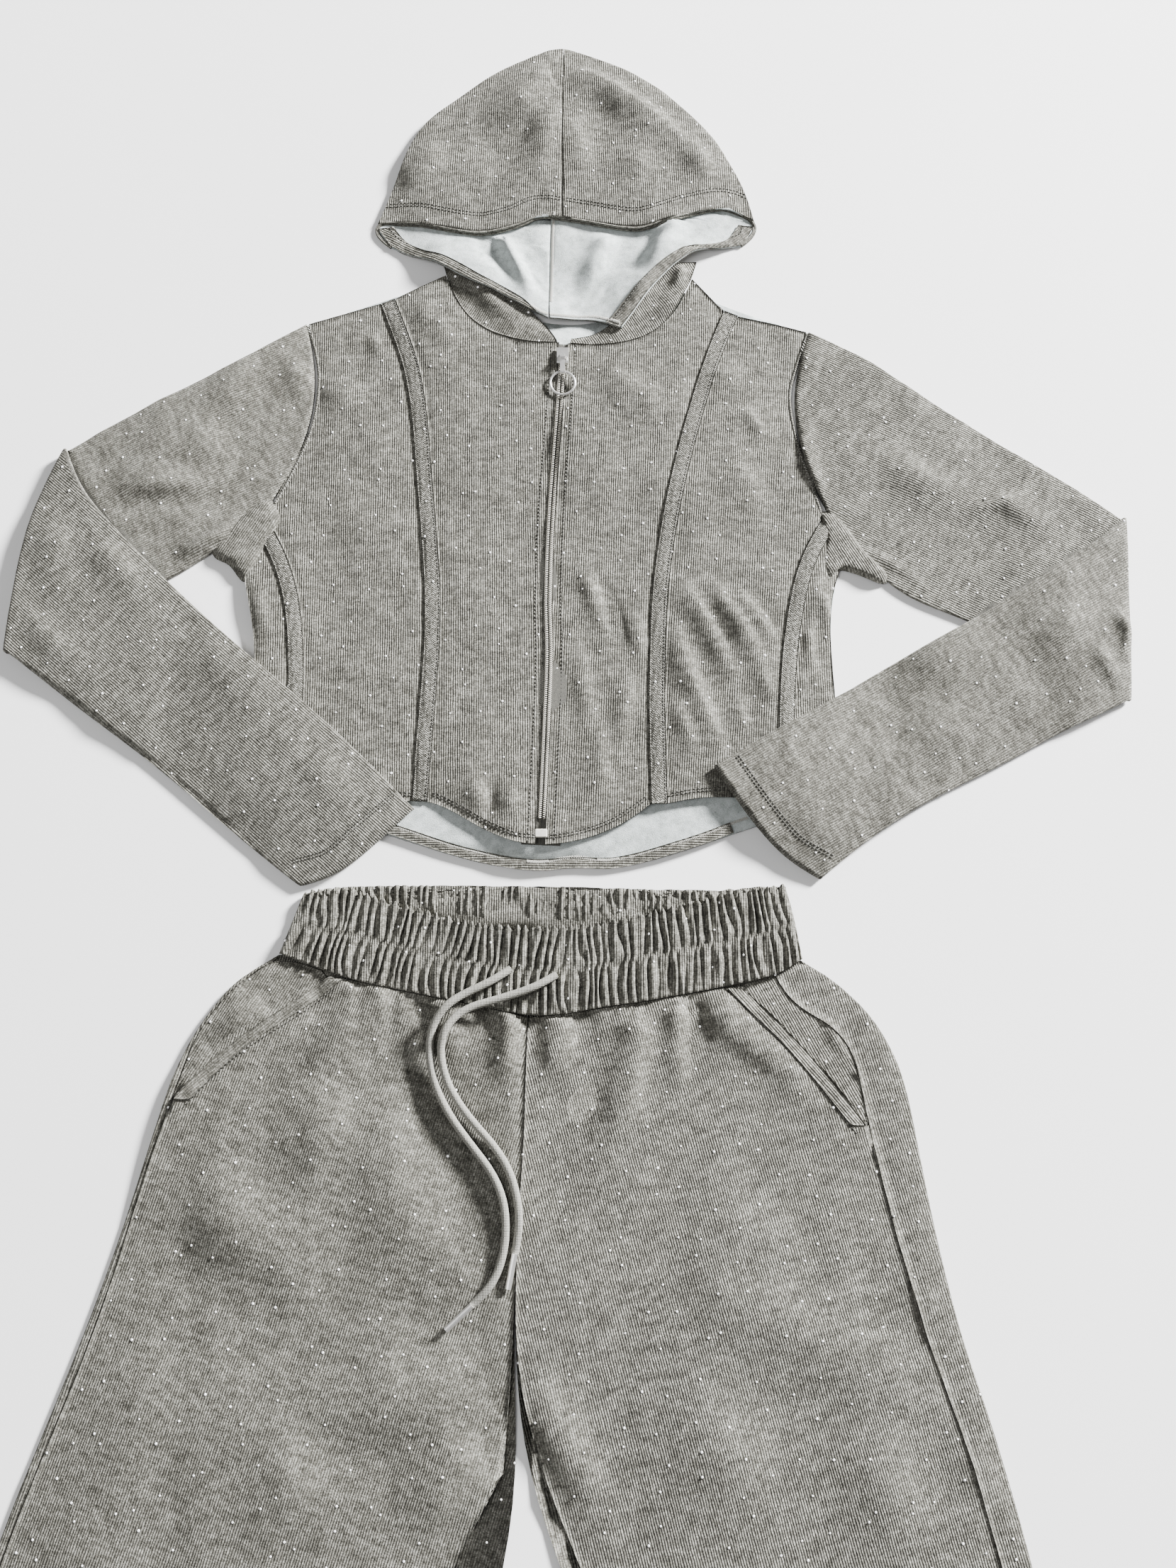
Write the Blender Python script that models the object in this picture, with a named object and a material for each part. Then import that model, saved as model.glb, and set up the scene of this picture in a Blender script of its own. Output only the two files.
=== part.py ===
"""Zip hoodie and wide trousers, laid out flat with the front up.

Metres, +Z up. The plan tables are in centimetres on the surface the set lies on: x to the
viewer's right, y towards the hood. Heights are in metres above that surface.
"""

import math

import bmesh
import bpy
import numpy as np
from mathutils import Matrix, Vector
from mathutils.bvhtree import BVHTree

CM = 0.01
PLAN_SHIFT = (0.0525, 0.2340)     # where the plan's zero lies in the part's frame

# Cloth
WALL = 0.0015                     # one layer of the brushed knit
SEAM = 0.0003                     # gap between pieces that are sewn together
LAYER = WALL + SEAM               # height of the second layer
FRONT_LOFT = 0.0022               # how far the fronts rise over the back
LEG_LOFT = 0.0024
ARM_LOFT = 0.0020
CHANNEL_RAISE = 0.0012            # the sewn strips stand above the panels
BAND_WALL = 0.0026                # waistband: two layers with elastic between
GATHERS = 58                      # gathers across the front of the waistband
GATHER_DEPTH = 0.0016
PUCKER_RISE = (0.0014, 0.0006)    # small folds below the waistband, in the first two rows

# Zip
ZIP_GAP = 0.0035                  # half the gap between the front edges
COIL_HALF = 0.0030
COIL_RIDGE = 0.0017               # from the zip's middle to the crest of each row of teeth
COIL_HEIGHT = 0.0022              # at the crests
COIL_EDGE = 0.0014                # at the outer edges
COIL_GROOVE = 0.0013              # between the two rows
COIL_SPAN = (0.02, 0.97)          # shares of the zip's length, from the top
SLIDER_AT = 0.03
STOP_AT = 0.98
STOP_SIZE = (0.0090, 0.0062, 0.0020)
TAPE_WALL = 0.0010
TAPE_WIDTH = 0.0140
SLIDER_SIZE = (0.0090, 0.0135, 0.0030)
SLIDER_BEVEL = 0.0008
CHEEK_INSIDE = 0.0022             # from the slider's middle to the inner side of each cheek
CHEEK_WALL = 0.0011
CHEEK_HALF = 0.0014               # half its length along the zip
PIN_BACK = 0.0030                 # from the slider's middle towards the hem
PIN_RADIUS = 0.0007
PIN_RISE = 0.0021                 # pin above the slider's top
LINK_EYE = 0.00125                # inner radius of the link's two eyes
LINK_RIM = 0.00195                # their outer radius
LINK_NECK = 0.0012                # its thickness between the eyes
LINK_WIDTH = 0.0036
LINK_LENGTH = 0.0115
RING_RADIUS = 0.00955             # to the middle of the wire
RING_WIRE = 0.00095
RING_TILT = math.radians(2.8)
RING_STEPS = (28, 8)              # round the ring, round its wire

# Drawcord
CORD_RADIUS = 0.00275
AGLET_RADIUS = 0.0021
AGLET_LENGTH = 0.0230

# Turns at the outline, where one layer runs into the other
FOLD_ANGLES = (math.pi / 4, 0.0, -math.pi / 4)
EDGE_INSET = 0.05                 # a turned hem starts this share of its width inside the edge


def remove_everything():
    for item in list(bpy.data.objects):
        bpy.data.objects.remove(item, do_unlink=True)


def material(name, colour, roughness, metallic=0.0):
    made = bpy.data.materials.new(name)
    made.use_nodes = True
    shader = made.node_tree.nodes["Principled BSDF"]
    shader.inputs["Base Color"].default_value = (*colour, 1.0)
    shader.inputs["Roughness"].default_value = roughness
    shader.inputs["Metallic"].default_value = metallic
    return made


# Plan curves

def resample(points, count):
    """Spread count points evenly along a polyline."""
    points = np.asarray(points, dtype=float)
    steps = np.linalg.norm(np.diff(points, axis=0), axis=1)
    along = np.concatenate([[0.0], np.cumsum(steps)])
    wanted = np.linspace(0.0, along[-1], count)
    return np.stack([np.interp(wanted, along, points[:, k]) for k in range(points.shape[1])], axis=1)


def smooth(points, per_span=8):
    """A smooth curve through the points of a table."""
    pts = [np.array(p, dtype=float) for p in points]
    pts = [2 * pts[0] - pts[1]] + pts + [2 * pts[-1] - pts[-2]]
    made = []
    for i in range(1, len(pts) - 2):
        p0, p1, p2, p3 = pts[i - 1:i + 3]
        for step in range(per_span):
            t = step / per_span
            made.append(0.5 * (2 * p1 + (p2 - p0) * t + (2 * p0 - 5 * p1 + 4 * p2 - p3) * t ** 2
                               + (3 * p1 - p0 - 3 * p2 + p3) * t ** 3))
    made.append(pts[-2])
    return np.array(made)


def chain(*tables):
    """Smooth stretches that meet in corners, as one polyline in metres in the part's frame."""
    parts = [smooth(t) for t in tables]
    line = np.concatenate([parts[0]] + [p[1:] for p in parts[1:]])
    return line * CM + np.array(PLAN_SHIFT)


def two_part(first, second):
    """The upper part of a leg's line gets as many points as its curve needs, the rest fewer."""
    upper = resample(chain(*first), POCKET_ROWS + 1)
    return np.concatenate([upper, resample(chain(*second), LEG_ROWS - POCKET_ROWS)[1:]])


def shifted(line, distance):
    """Move a polyline sideways, to the left of its direction when distance is positive."""
    tangent = np.gradient(line, axis=0)
    tangent /= np.linalg.norm(tangent, axis=1)[:, None]
    normal = np.stack([-tangent[:, 1], tangent[:, 0]], axis=1)
    return line + normal * distance


def along_line(line, distances):
    """Points at the given distances along a polyline."""
    steps = np.linalg.norm(np.diff(line, axis=0), axis=1)
    run = np.concatenate([[0.0], np.cumsum(steps)])
    wanted = np.clip(distances, 0.0, run[-1])
    return np.stack([np.interp(wanted, run, line[:, k]) for k in (0, 1)], axis=1)


def length_of(line):
    return np.linalg.norm(np.diff(line, axis=0), axis=1).sum()


def stretch(line, start, end, count):
    """Count points on the part of a polyline between two shares of its length."""
    return along_line(line, np.linspace(start, end, count) * length_of(line))


def away_from(plan, line):
    """Distance of plan points from a polyline."""
    a, b = line[:-1], line[1:]
    span = b - a
    rel = plan[..., None, :] - a
    t = np.clip((rel * span).sum(-1) / (span ** 2).sum(-1), 0.0, 1.0)
    return np.linalg.norm(rel - t[..., None] * span, axis=-1).min(axis=-1)


def look_up(table, value):
    """Read a two-column table between its rows."""
    return np.interp(value, [row[0] for row in table], [row[1] for row in table])


def coons(top, bottom, left, right, rows, cols):
    """Fill four boundary curves: left and right run from top to bottom."""
    top, bottom = (line if len(line) == cols else resample(line, cols) for line in (top, bottom))
    left, right = (line if len(line) == rows else resample(line, rows) for line in (left, right))
    top[0], top[-1], bottom[0], bottom[-1] = left[0], right[0], left[-1], right[-1]
    v = np.linspace(0.0, 1.0, rows)[:, None, None]
    u = np.linspace(0.0, 1.0, cols)[None, :, None]
    across = (1 - u) * left[:, None, :] + u * right[:, None, :]
    down = (1 - v) * top[None, :, :] + v * bottom[None, :, :]
    corners = ((1 - u) * (1 - v) * left[0] + u * (1 - v) * right[0]
               + (1 - u) * v * left[-1] + u * v * right[-1])
    return across + down - corners


# Solids

def grid_solid(name, outer, inner, finish, mask=None, wrap=False):
    """A closed wall between two grids of points; mask leaves cells out, wrap closes a tube."""
    rows, cols = outer.shape[:2]
    cells_across = cols if wrap else cols - 1
    if mask is None:
        mask = np.ones((rows - 1, cells_across), dtype=bool)
    mesh = bmesh.new()
    shells = []
    for grid in (outer, inner):
        shells.append([[mesh.verts.new(grid[r, c]) for c in range(cols)] for r in range(rows)])
    out, ins = shells

    def cell_on(r, c):
        if wrap:
            c %= cols
        return 0 <= r < rows - 1 and 0 <= c < cells_across and mask[r, c]

    for r in range(rows - 1):
        for c in range(cells_across):
            if not mask[r, c]:
                continue
            d = (c + 1) % cols
            mesh.faces.new((out[r][c], out[r][d], out[r + 1][d], out[r + 1][c]))
            mesh.faces.new((ins[r][c], ins[r + 1][c], ins[r + 1][d], ins[r][d]))
            if not cell_on(r - 1, c):
                mesh.faces.new((out[r][d], out[r][c], ins[r][c], ins[r][d]))
            if not cell_on(r + 1, c):
                mesh.faces.new((out[r + 1][c], out[r + 1][d], ins[r + 1][d], ins[r + 1][c]))
            if not cell_on(r, c - 1):
                mesh.faces.new((out[r][c], out[r + 1][c], ins[r + 1][c], ins[r][c]))
            if not cell_on(r, c + 1):
                mesh.faces.new((out[r + 1][d], out[r][d], ins[r][d], ins[r + 1][d]))
    loose = [v for v in mesh.verts if not v.link_faces]
    bmesh.ops.delete(mesh, geom=loose, context="VERTS")
    return finish_mesh(name, mesh, finish)


def finish_mesh(name, mesh, finish):
    bmesh.ops.recalc_face_normals(mesh, faces=mesh.faces)
    data = bpy.data.meshes.new(name)
    mesh.to_mesh(data)
    mesh.free()
    data.materials.append(finish)
    data.shade_smooth()
    data.set_sharp_from_angle(angle=math.radians(50))
    made = bpy.data.objects.new(name, data)
    bpy.context.scene.collection.objects.link(made)
    return made


def lift(plan, height):
    """Give a plan grid its heights."""
    return np.concatenate([plan, height[..., None]], axis=-1)


def panel(name, plan, under, raised, finish, wall=WALL):
    """A panel over a plain underside, its outer points raised by the folds."""
    low = under(plan)
    return grid_solid(name, lift(plan, low + wall + raised(plan)), lift(plan, low), finish)


def flat(plan):
    return np.zeros(plan.shape[:-1])


def step01(t):
    t = np.clip(t, 0.0, 1.0)
    return t * t * (3 - 2 * t)


# The jacket's own middle and sizes, in centimetres
JACKET_MIDDLE = -3.2
HALF_WIDTH_AT = ((-2.0, 21.2), (19.5, 22.0), (24.0, 19.4), (31.0, 18.0), (37.5, 19.3))   # y, half width
SHOULDER_AT = ((0.0, 37.0), (8.0, 41.2), (19.0, 37.2))    # distance from the middle, y of the seam
SHOULDER_SHARE = ((5.0, 0.0), (9.0, 1.0))                 # distance from the middle, share that sinks
SHOULDER_FADE = 5.0


def front_under(plan):
    """Underside of the jacket's fronts: on the back at the sides and shoulders, risen between."""
    aside = np.abs((plan[..., 0] - PLAN_SHIFT[0]) / CM - JACKET_MIDDLE)
    y = (plan[..., 1] - PLAN_SHIFT[1]) / CM
    across = 1 - np.clip(aside / look_up(HALF_WIDTH_AT, y), 0.0, 1.0) ** 4
    fade = step01((look_up(SHOULDER_AT, aside) - y) / SHOULDER_FADE)
    return LAYER + FRONT_LOFT * across * (1 - look_up(SHOULDER_SHARE, aside) * (1 - fade))


# Soft ridges, in centimetres on the plan: from, to, half width, height in millimetres
JACKET_FOLDS = (
    ((-19.0, 36.5), (-16.5, 27.0), 1.6, 1.2),
    ((-11.5, 38.5), (-12.5, 33.0), 1.4, 1.3),
    ((2.0, 31.0), (6.5, 27.5), 1.8, 1.0),
    ((12.5, 35.0), (14.5, 26.0), 1.6, 1.2),
    ((7.5, 15.5), (14.0, 4.0), 2.0, 1.8),
    ((6.5, 8.0), (11.0, 0.5), 1.6, 1.4),
    ((0.5, 14.0), (3.0, 6.0), 1.4, 1.2),
    ((-0.5, 3.0), (1.5, -3.5), 1.2, 1.2),
    ((-8.5, 2.5), (-9.5, -2.5), 1.2, 1.0),
    ((-23.5, 15.0), (-23.0, 6.0), 1.0, 1.2),
    ((17.2, 18.5), (16.4, 12.0), 0.8, 2.6),
)
LEG_FOLDS = (
    ((-16.0, -18.0), (-19.5, -33.0), 2.2, 1.8),
    ((-11.0, -18.0), (-12.5, -26.0), 1.6, 1.4),
    ((-24.0, -24.0), (-26.0, -46.0), 2.6, 2.0),
    ((-15.0, -38.0), (-19.0, -60.0), 3.0, 2.2),
    ((3.5, -19.0), (8.5, -31.0), 2.0, 2.0),
    ((9.5, -20.0), (13.5, -38.0), 2.2, 1.6),
    ((1.5, -36.0), (7.0, -58.0), 3.0, 2.2),
    ((17.0, -42.0), (21.0, -66.0), 2.6, 1.8),
    ((-33.0, -62.0), (-38.0, -88.0), 2.8, 2.0),
    ((-22.0, -70.0), (-27.0, -98.0), 3.0, 1.8),
    ((14.0, -72.0), (19.0, -98.0), 3.0, 2.0),
    ((28.0, -66.0), (32.0, -92.0), 2.8, 1.8),
)
HOOD_FOLDS = (
    ((-9.0, 57.0), (-11.5, 48.5), 1.8, 1.6),
    ((-5.0, 53.0), (-6.5, 47.0), 1.4, 1.2),
    ((3.0, 57.0), (5.5, 48.0), 1.8, 1.6),
    ((8.5, 54.0), (10.0, 48.5), 1.4, 1.2),
)


def ridges(plan, table):
    """Height that the folds of a table add at each plan point."""
    x = (plan[..., 0] - PLAN_SHIFT[0]) / CM
    y = (plan[..., 1] - PLAN_SHIFT[1]) / CM
    added = np.zeros(x.shape)
    for start, end, width, height in table:
        ax, ay = start
        dx, dy = end[0] - ax, end[1] - ay
        length = dx * dx + dy * dy
        t = np.clip(((x - ax) * dx + (y - ay) * dy) / length, 0.0, 1.0)
        away = np.hypot(x - ax - t * dx, y - ay - t * dy)
        along = np.sin(np.pi * np.clip(0.08 + 0.84 * t, 0.0, 1.0))
        added = np.maximum(added, height * 0.001 * along * np.exp(-(away / width) ** 2))
    return added


def jacket_folds(plan):
    return ridges(plan, JACKET_FOLDS)


# Jacket body tables, in centimetres on the plan, each from the top down or from the left
ZIP_LINE = ((-1.9, 35.3), (-2.3, 28.7), (-2.8, 21.0), (-3.0, 14.4), (-2.9, 9.5), (-3.1, 3.0), (-3.4, -4.6))
PRINCESS_LEFT = ((-15.2, 39.3), (-14.0, 36.0), (-13.0, 33.0), (-12.3, 28.5), (-11.9, 24.0),
                 (-11.4, 19.4), (-11.0, 14.4), (-11.0, 9.8), (-11.3, 4.0), (-11.6, -1.4))
PRINCESS_RIGHT = ((10.7, 38.2), (9.1, 34.0), (7.6, 29.0), (6.3, 23.8), (5.4, 19.1),
                  (4.8, 14.4), (4.6, 9.5), (4.5, 5.3), (4.6, -1.6))
CHANNEL_WIDTH = 0.0115
SIDE_LEFT = ((-24.2, 20.4), (-22.6, 17.6), (-21.6, 14.4), (-21.1, 11.0), (-20.9, 6.0), (-21.0, -1.2))
SIDE_RIGHT = ((17.6, 20.3), (15.8, 17.0), (15.0, 13.5), (14.4, 9.9), (14.0, 5.0), (13.9, -1.3))
SIDE_CHANNEL_WIDTH = 0.0110
ARMHOLE_LEFT = ((-21.9, 37.1), (-21.1, 34.4), (-20.8, 31.7), (-21.2, 28.1), (-22.6, 24.2), (-24.2, 20.8))
ARMHOLE_RIGHT = ((17.1, 36.4), (16.1, 33.4), (15.5, 30.8), (15.9, 27.2), (16.8, 23.9), (17.6, 20.7))
EDGE_LEFT = ((-26.3, 18.3), (-25.6, 15.0), (-24.9, 12.0), (-24.5, 7.0), (-24.6, -1.0))
EDGE_RIGHT = ((19.6, 18.3), (18.4, 15.0), (18.0, 12.0), (18.2, 6.0), (18.4, -1.0))
SHOULDER_LEFT = ((-21.9, 37.2), (-16.3, 39.1), (-11.2, 41.2))
SHOULDER_RIGHT = ((8.2, 40.9), (9.4, 39.6), (11.0, 38.5), (17.1, 36.4))
NECK_LEFT = ((-11.2, 41.2), (-10.2, 38.8), (-8.7, 36.9), (-6.5, 35.8), (-3.8, 35.3), (-2.4, 35.3))
NECK_RIGHT = ((-1.4, 35.3), (2.3, 35.3), (4.3, 35.8), (5.9, 36.8), (7.1, 38.4), (8.2, 40.9))
NECK_BACK = ((-11.2, 41.2), (-8.5, 39.1), (-5.5, 37.6), (-3.0, 37.0), (0.0, 37.0), (4.0, 38.4), (8.2, 40.9))
UNDERARM_LEFT = ((-24.2, 20.8), (-25.3, 19.6), (-26.3, 18.3))
UNDERARM_RIGHT = ((17.6, 20.7), (18.5, 19.7), (19.6, 18.3))
FRONT_SHOULDER_LEFT = ((-15.2, 39.4), (-13.2, 40.3), (-11.2, 41.2))
FRONT_SHOULDER_RIGHT = ((8.2, 40.9), (9.4, 39.6), (10.7, 38.5))
SIDE_HEM_LEFT = ((-21.0, -1.2), (-17.0, -1.2), (-12.8, -1.4))
SIDE_HEM_RIGHT = ((5.8, -1.5), (9.0, -1.1), (13.9, -1.3))
HEM_LEFT = ((-11.6, -1.4), (-11.0, -1.5), (-9.3, -2.4), (-7.6, -3.4), (-5.4, -4.4), (-3.8, -4.6))
HEM_RIGHT = ((-3.0, -4.6), (-1.8, -4.5), (0.2, -4.0), (2.4, -3.1), (4.6, -1.6))
HEM_BACK = ((-24.6, -1.2), (-18.5, -2.6), (-13.8, -4.0), (-9.3, -5.5), (-4.0, -6.6), (-1.0, -6.2),
            (2.0, -6.4), (8.0, -4.7), (11.7, -3.3), (18.4, -1.2))
BACK_HEM_WIDTH = 0.0085
BACK_HEM_INSET = 0.0006
BACK_HEM_SPAN = (0.153, 0.814)    # shares of the back hem between which it shows

BACK_ROWS = 12
BACK_COLS = 12
BODY_ROWS = 15
ARMHOLE_ROWS = 7
SIDE_ROWS = 9                     # with the armhole's rows they make up the body's
NECK_COLS = 8
SHOULDER_COLS = 3
SIDE_COLS = 7
EDGE_COLS = 4
LINE_ROWS = 16                    # along the back hem's strip and along the zip


def build_jacket_body(face):
    """Back, fronts, side panels and the strips over the seams."""
    half = SEAM / 2
    armhole_l, armhole_r = chain(ARMHOLE_LEFT), chain(ARMHOLE_RIGHT)
    underarm_l, underarm_r = chain(UNDERARM_LEFT), chain(UNDERARM_RIGHT)
    edge_l, edge_r = chain(EDGE_LEFT), chain(EDGE_RIGHT)
    back_top = chain(SHOULDER_LEFT, NECK_BACK, SHOULDER_RIGHT)
    back = coons(back_top, chain(HEM_BACK), np.concatenate([armhole_l, underarm_l[1:], edge_l[1:]]),
                 np.concatenate([armhole_r, underarm_r[1:], edge_r[1:]]), BACK_ROWS, BACK_COLS)
    panel("jacket_back", back, flat, flat, face)

    strip_line = stretch(chain(HEM_BACK), *BACK_HEM_SPAN, LINE_ROWS)
    strip = np.stack([shifted(strip_line, BACK_HEM_WIDTH), shifted(strip_line, BACK_HEM_INSET)])
    panel("jacket_back_hem", strip, lambda plan: flat(plan) + LAYER, flat, face)

    zip_line = chain(ZIP_LINE)
    inner_l, inner_r = chain(PRINCESS_LEFT), chain(PRINCESS_RIGHT)
    outer_l, outer_r = shifted(inner_l, -CHANNEL_WIDTH), shifted(inner_r, CHANNEL_WIDTH)
    side_l, side_r = (resample(chain(table), SIDE_ROWS) for table in (SIDE_LEFT, SIDE_RIGHT))
    rim_l, rim_r = shifted(side_l, -SIDE_CHANNEL_WIDTH), shifted(side_r, SIDE_CHANNEL_WIDTH)

    def line(*points):
        return np.array(points)

    shoulder_l = resample(chain(FRONT_SHOULDER_LEFT), SHOULDER_COLS)
    shoulder_r = resample(chain(FRONT_SHOULDER_RIGHT), SHOULDER_COLS)
    top_l = np.concatenate([shoulder_l, resample(chain(NECK_LEFT), NECK_COLS)[1:]])
    top_r = np.concatenate([resample(chain(NECK_RIGHT), NECK_COLS), shoulder_r[1:]])
    centre_l = coons(top_l, chain(HEM_LEFT), shifted(inner_l, half), shifted(zip_line, -ZIP_GAP),
                     BODY_ROWS, len(top_l))
    centre_r = coons(top_r, chain(HEM_RIGHT), shifted(zip_line, ZIP_GAP), shifted(inner_r, -half),
                     BODY_ROWS, len(top_r))
    panel("centre_front_left", centre_l, front_under, jacket_folds, face)
    panel("centre_front_right", centre_r, front_under, jacket_folds, face)

    def raised_strip(plan):
        return jacket_folds(plan) + CHANNEL_RAISE

    for side, one, two in (("left", outer_l, inner_l), ("right", inner_r, outer_r)):
        near, far = shifted(one, half), shifted(two, -half)
        strip = coons(line(near[0], far[0]), line(near[-1], far[-1]), near, far, BODY_ROWS, 3)
        panel("princess_channel_" + side, strip, front_under, raised_strip, face)

    left = np.concatenate([resample(armhole_l, ARMHOLE_ROWS)[:-1], shifted(side_l, half)])
    right = shifted(outer_l, -half)
    plan = coons(line(left[0], right[0]), chain(SIDE_HEM_LEFT), left, right, BODY_ROWS, SIDE_COLS)
    panel("side_front_left", plan, front_under, jacket_folds, face)
    left = shifted(outer_r, half)
    right = np.concatenate([resample(armhole_r, ARMHOLE_ROWS)[:-1], shifted(side_r, -half)])
    plan = coons(line(left[0], right[0]), chain(SIDE_HEM_RIGHT), left, right, BODY_ROWS, SIDE_COLS)
    panel("side_front_right", plan, front_under, jacket_folds, face)

    for side, one, two in (("left", rim_l, side_l), ("right", side_r, rim_r)):
        near, far = shifted(one, half), shifted(two, -half)
        strip = coons(line(near[0], far[0]), line(near[-1], far[-1]), near, far, SIDE_ROWS, 3)
        panel("side_channel_" + side, strip, front_under, raised_strip, face)

    for side, near, far in (("left", edge_l, shifted(rim_l, -half)),
                            ("right", shifted(rim_r, half), edge_r)):
        plan = coons(line(near[0], far[0]), line(near[-1], far[-1]), near, far, SIDE_ROWS, EDGE_COLS)
        panel("side_panel_" + side, plan, front_under, jacket_folds, face)
    return zip_line


def build_zip(zip_line, tape, coil, metal):
    """Tapes under the front edges, the coil between them, slider, link, ring and bottom stop."""
    for side, sign in (("left", -1), ("right", 1)):
        near = resample(shifted(zip_line, sign * SEAM / 2), LINE_ROWS)
        far = resample(shifted(zip_line, sign * TAPE_WIDTH), LINE_ROWS)
        plan = np.stack([near, far], axis=1)
        low = front_under(plan) - SEAM - TAPE_WALL
        grid_solid("zip_tape_" + side, lift(plan, low + TAPE_WALL), lift(plan, low), tape)

    strip = stretch(zip_line, *COIL_SPAN, LINE_ROWS)
    offsets = (-COIL_HALF, -COIL_RIDGE, 0.0, COIL_RIDGE, COIL_HALF)
    crown = np.array((COIL_EDGE, COIL_HEIGHT, COIL_GROOVE, COIL_HEIGHT, COIL_EDGE))
    plan = np.stack([shifted(strip, d) for d in offsets], axis=1)
    low = front_under(plan)
    grid_solid("zip_coil", lift(plan, low + crown), lift(plan, low), coil)

    place, end = stretch(zip_line, SLIDER_AT, STOP_AT, 2)
    base = float(front_under(place)) + COIL_HEIGHT + SEAM
    slider_top = build_slider(place, base, metal)
    pin = Vector((place[0], place[1] - PIN_BACK, slider_top + PIN_RISE))
    build_pull(pin, base, metal)

    low = float(front_under(end)) + WALL + SEAM
    box("zip_stop", (end[0], end[1], low + STOP_SIZE[2] / 2), STOP_SIZE, STOP_SIZE[2] * 0.3, coil)


def box(name, centre, size, bevel, finish):
    mesh = bmesh.new()
    bmesh.ops.create_cube(mesh, size=1.0)
    bmesh.ops.scale(mesh, vec=size, verts=mesh.verts)
    bmesh.ops.translate(mesh, vec=centre, verts=mesh.verts)
    bmesh.ops.bevel(mesh, geom=mesh.edges[:], offset=bevel, segments=1, affect="EDGES")
    return finish_mesh(name, mesh, finish)


def extruded(name, outline, axis_from, axis_to, finish):
    """A closed outline in the YZ plane, drawn out along X."""
    mesh = bmesh.new()
    rings = []
    for x in (axis_from, axis_to):
        rings.append([mesh.verts.new((x, y, z)) for y, z in outline])
    mesh.faces.new(rings[0])
    mesh.faces.new(list(reversed(rings[1])))
    count = len(outline)
    for i in range(count):
        j = (i + 1) % count
        mesh.faces.new((rings[0][i], rings[1][i], rings[1][j], rings[0][j]))
    return finish_mesh(name, mesh, finish)


def arc(centre, radius, start, end, steps):
    """Points on an arc in the YZ plane, angles in degrees."""
    angles = [math.radians(start + (end - start) * i / steps) for i in range(steps + 1)]
    return [(centre[0] + radius * math.cos(a), centre[1] + radius * math.sin(a)) for a in angles]


def set_origin(item, point):
    """Put an object's origin on its joint's axis."""
    item.data.transform(Matrix.Translation(-Vector(point)))
    item.location = point


def rod(name, centre, radius, length, finish, sides=16):
    """A round bar along X."""
    outline = arc((centre[1], centre[2]), radius, 0, 360 * (sides - 1) / sides, sides - 1)
    return extruded(name, outline, centre[0] - length / 2, centre[0] + length / 2, finish)


def combine(base, others, operation):
    """Join or cut with modifiers; the other objects stay hidden guides."""
    for other in others:
        modifier = base.modifiers.new(operation.title(), "BOOLEAN")
        modifier.operation = operation
        modifier.solver = "EXACT"
        modifier.object = other
        other.hide_render = True
        other.display_type = "WIRE"
    return base


def build_slider(place, base, metal):
    """Slider body with two cheeks that hold the pull's pin; returns the height of its top."""
    x, y = place
    wide, long, high = SLIDER_SIZE
    top = base + high
    cut = SLIDER_BEVEL
    profile = ((y + long / 2, base + cut), (y + long / 2 - cut, base),
               (y - long / 2 + cut, base), (y - long / 2, base + cut),
               (y - long / 2, top - cut), (y - long / 2 + 1.5 * cut, top),
               (y + long / 2 - 4 * cut, top), (y + long / 2, top - 1.5 * cut))
    body = extruded("slider", profile, x - wide / 2, x + wide / 2, metal)
    pin = (x, y - PIN_BACK, top + PIN_RISE)
    foot, head = top - CHEEK_WALL / 2, pin[2] + PIN_RADIUS * 1.2
    cheek = ((pin[1] + CHEEK_HALF, foot), (pin[1] - CHEEK_HALF, foot),
             (pin[1] - CHEEK_HALF * 0.85, head), (pin[1] + CHEEK_HALF * 0.85, head))
    extras = [rod("guide_pin", pin, PIN_RADIUS, 2 * CHEEK_INSIDE + CHEEK_WALL, metal)]
    for name, start in (("guide_cheek_left", -CHEEK_INSIDE - CHEEK_WALL),
                        ("guide_cheek_right", CHEEK_INSIDE)):
        extras.append(extruded(name, cheek, x + start, x + start + CHEEK_WALL, metal))
    combine(body, extras, "UNION")
    return top


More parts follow.
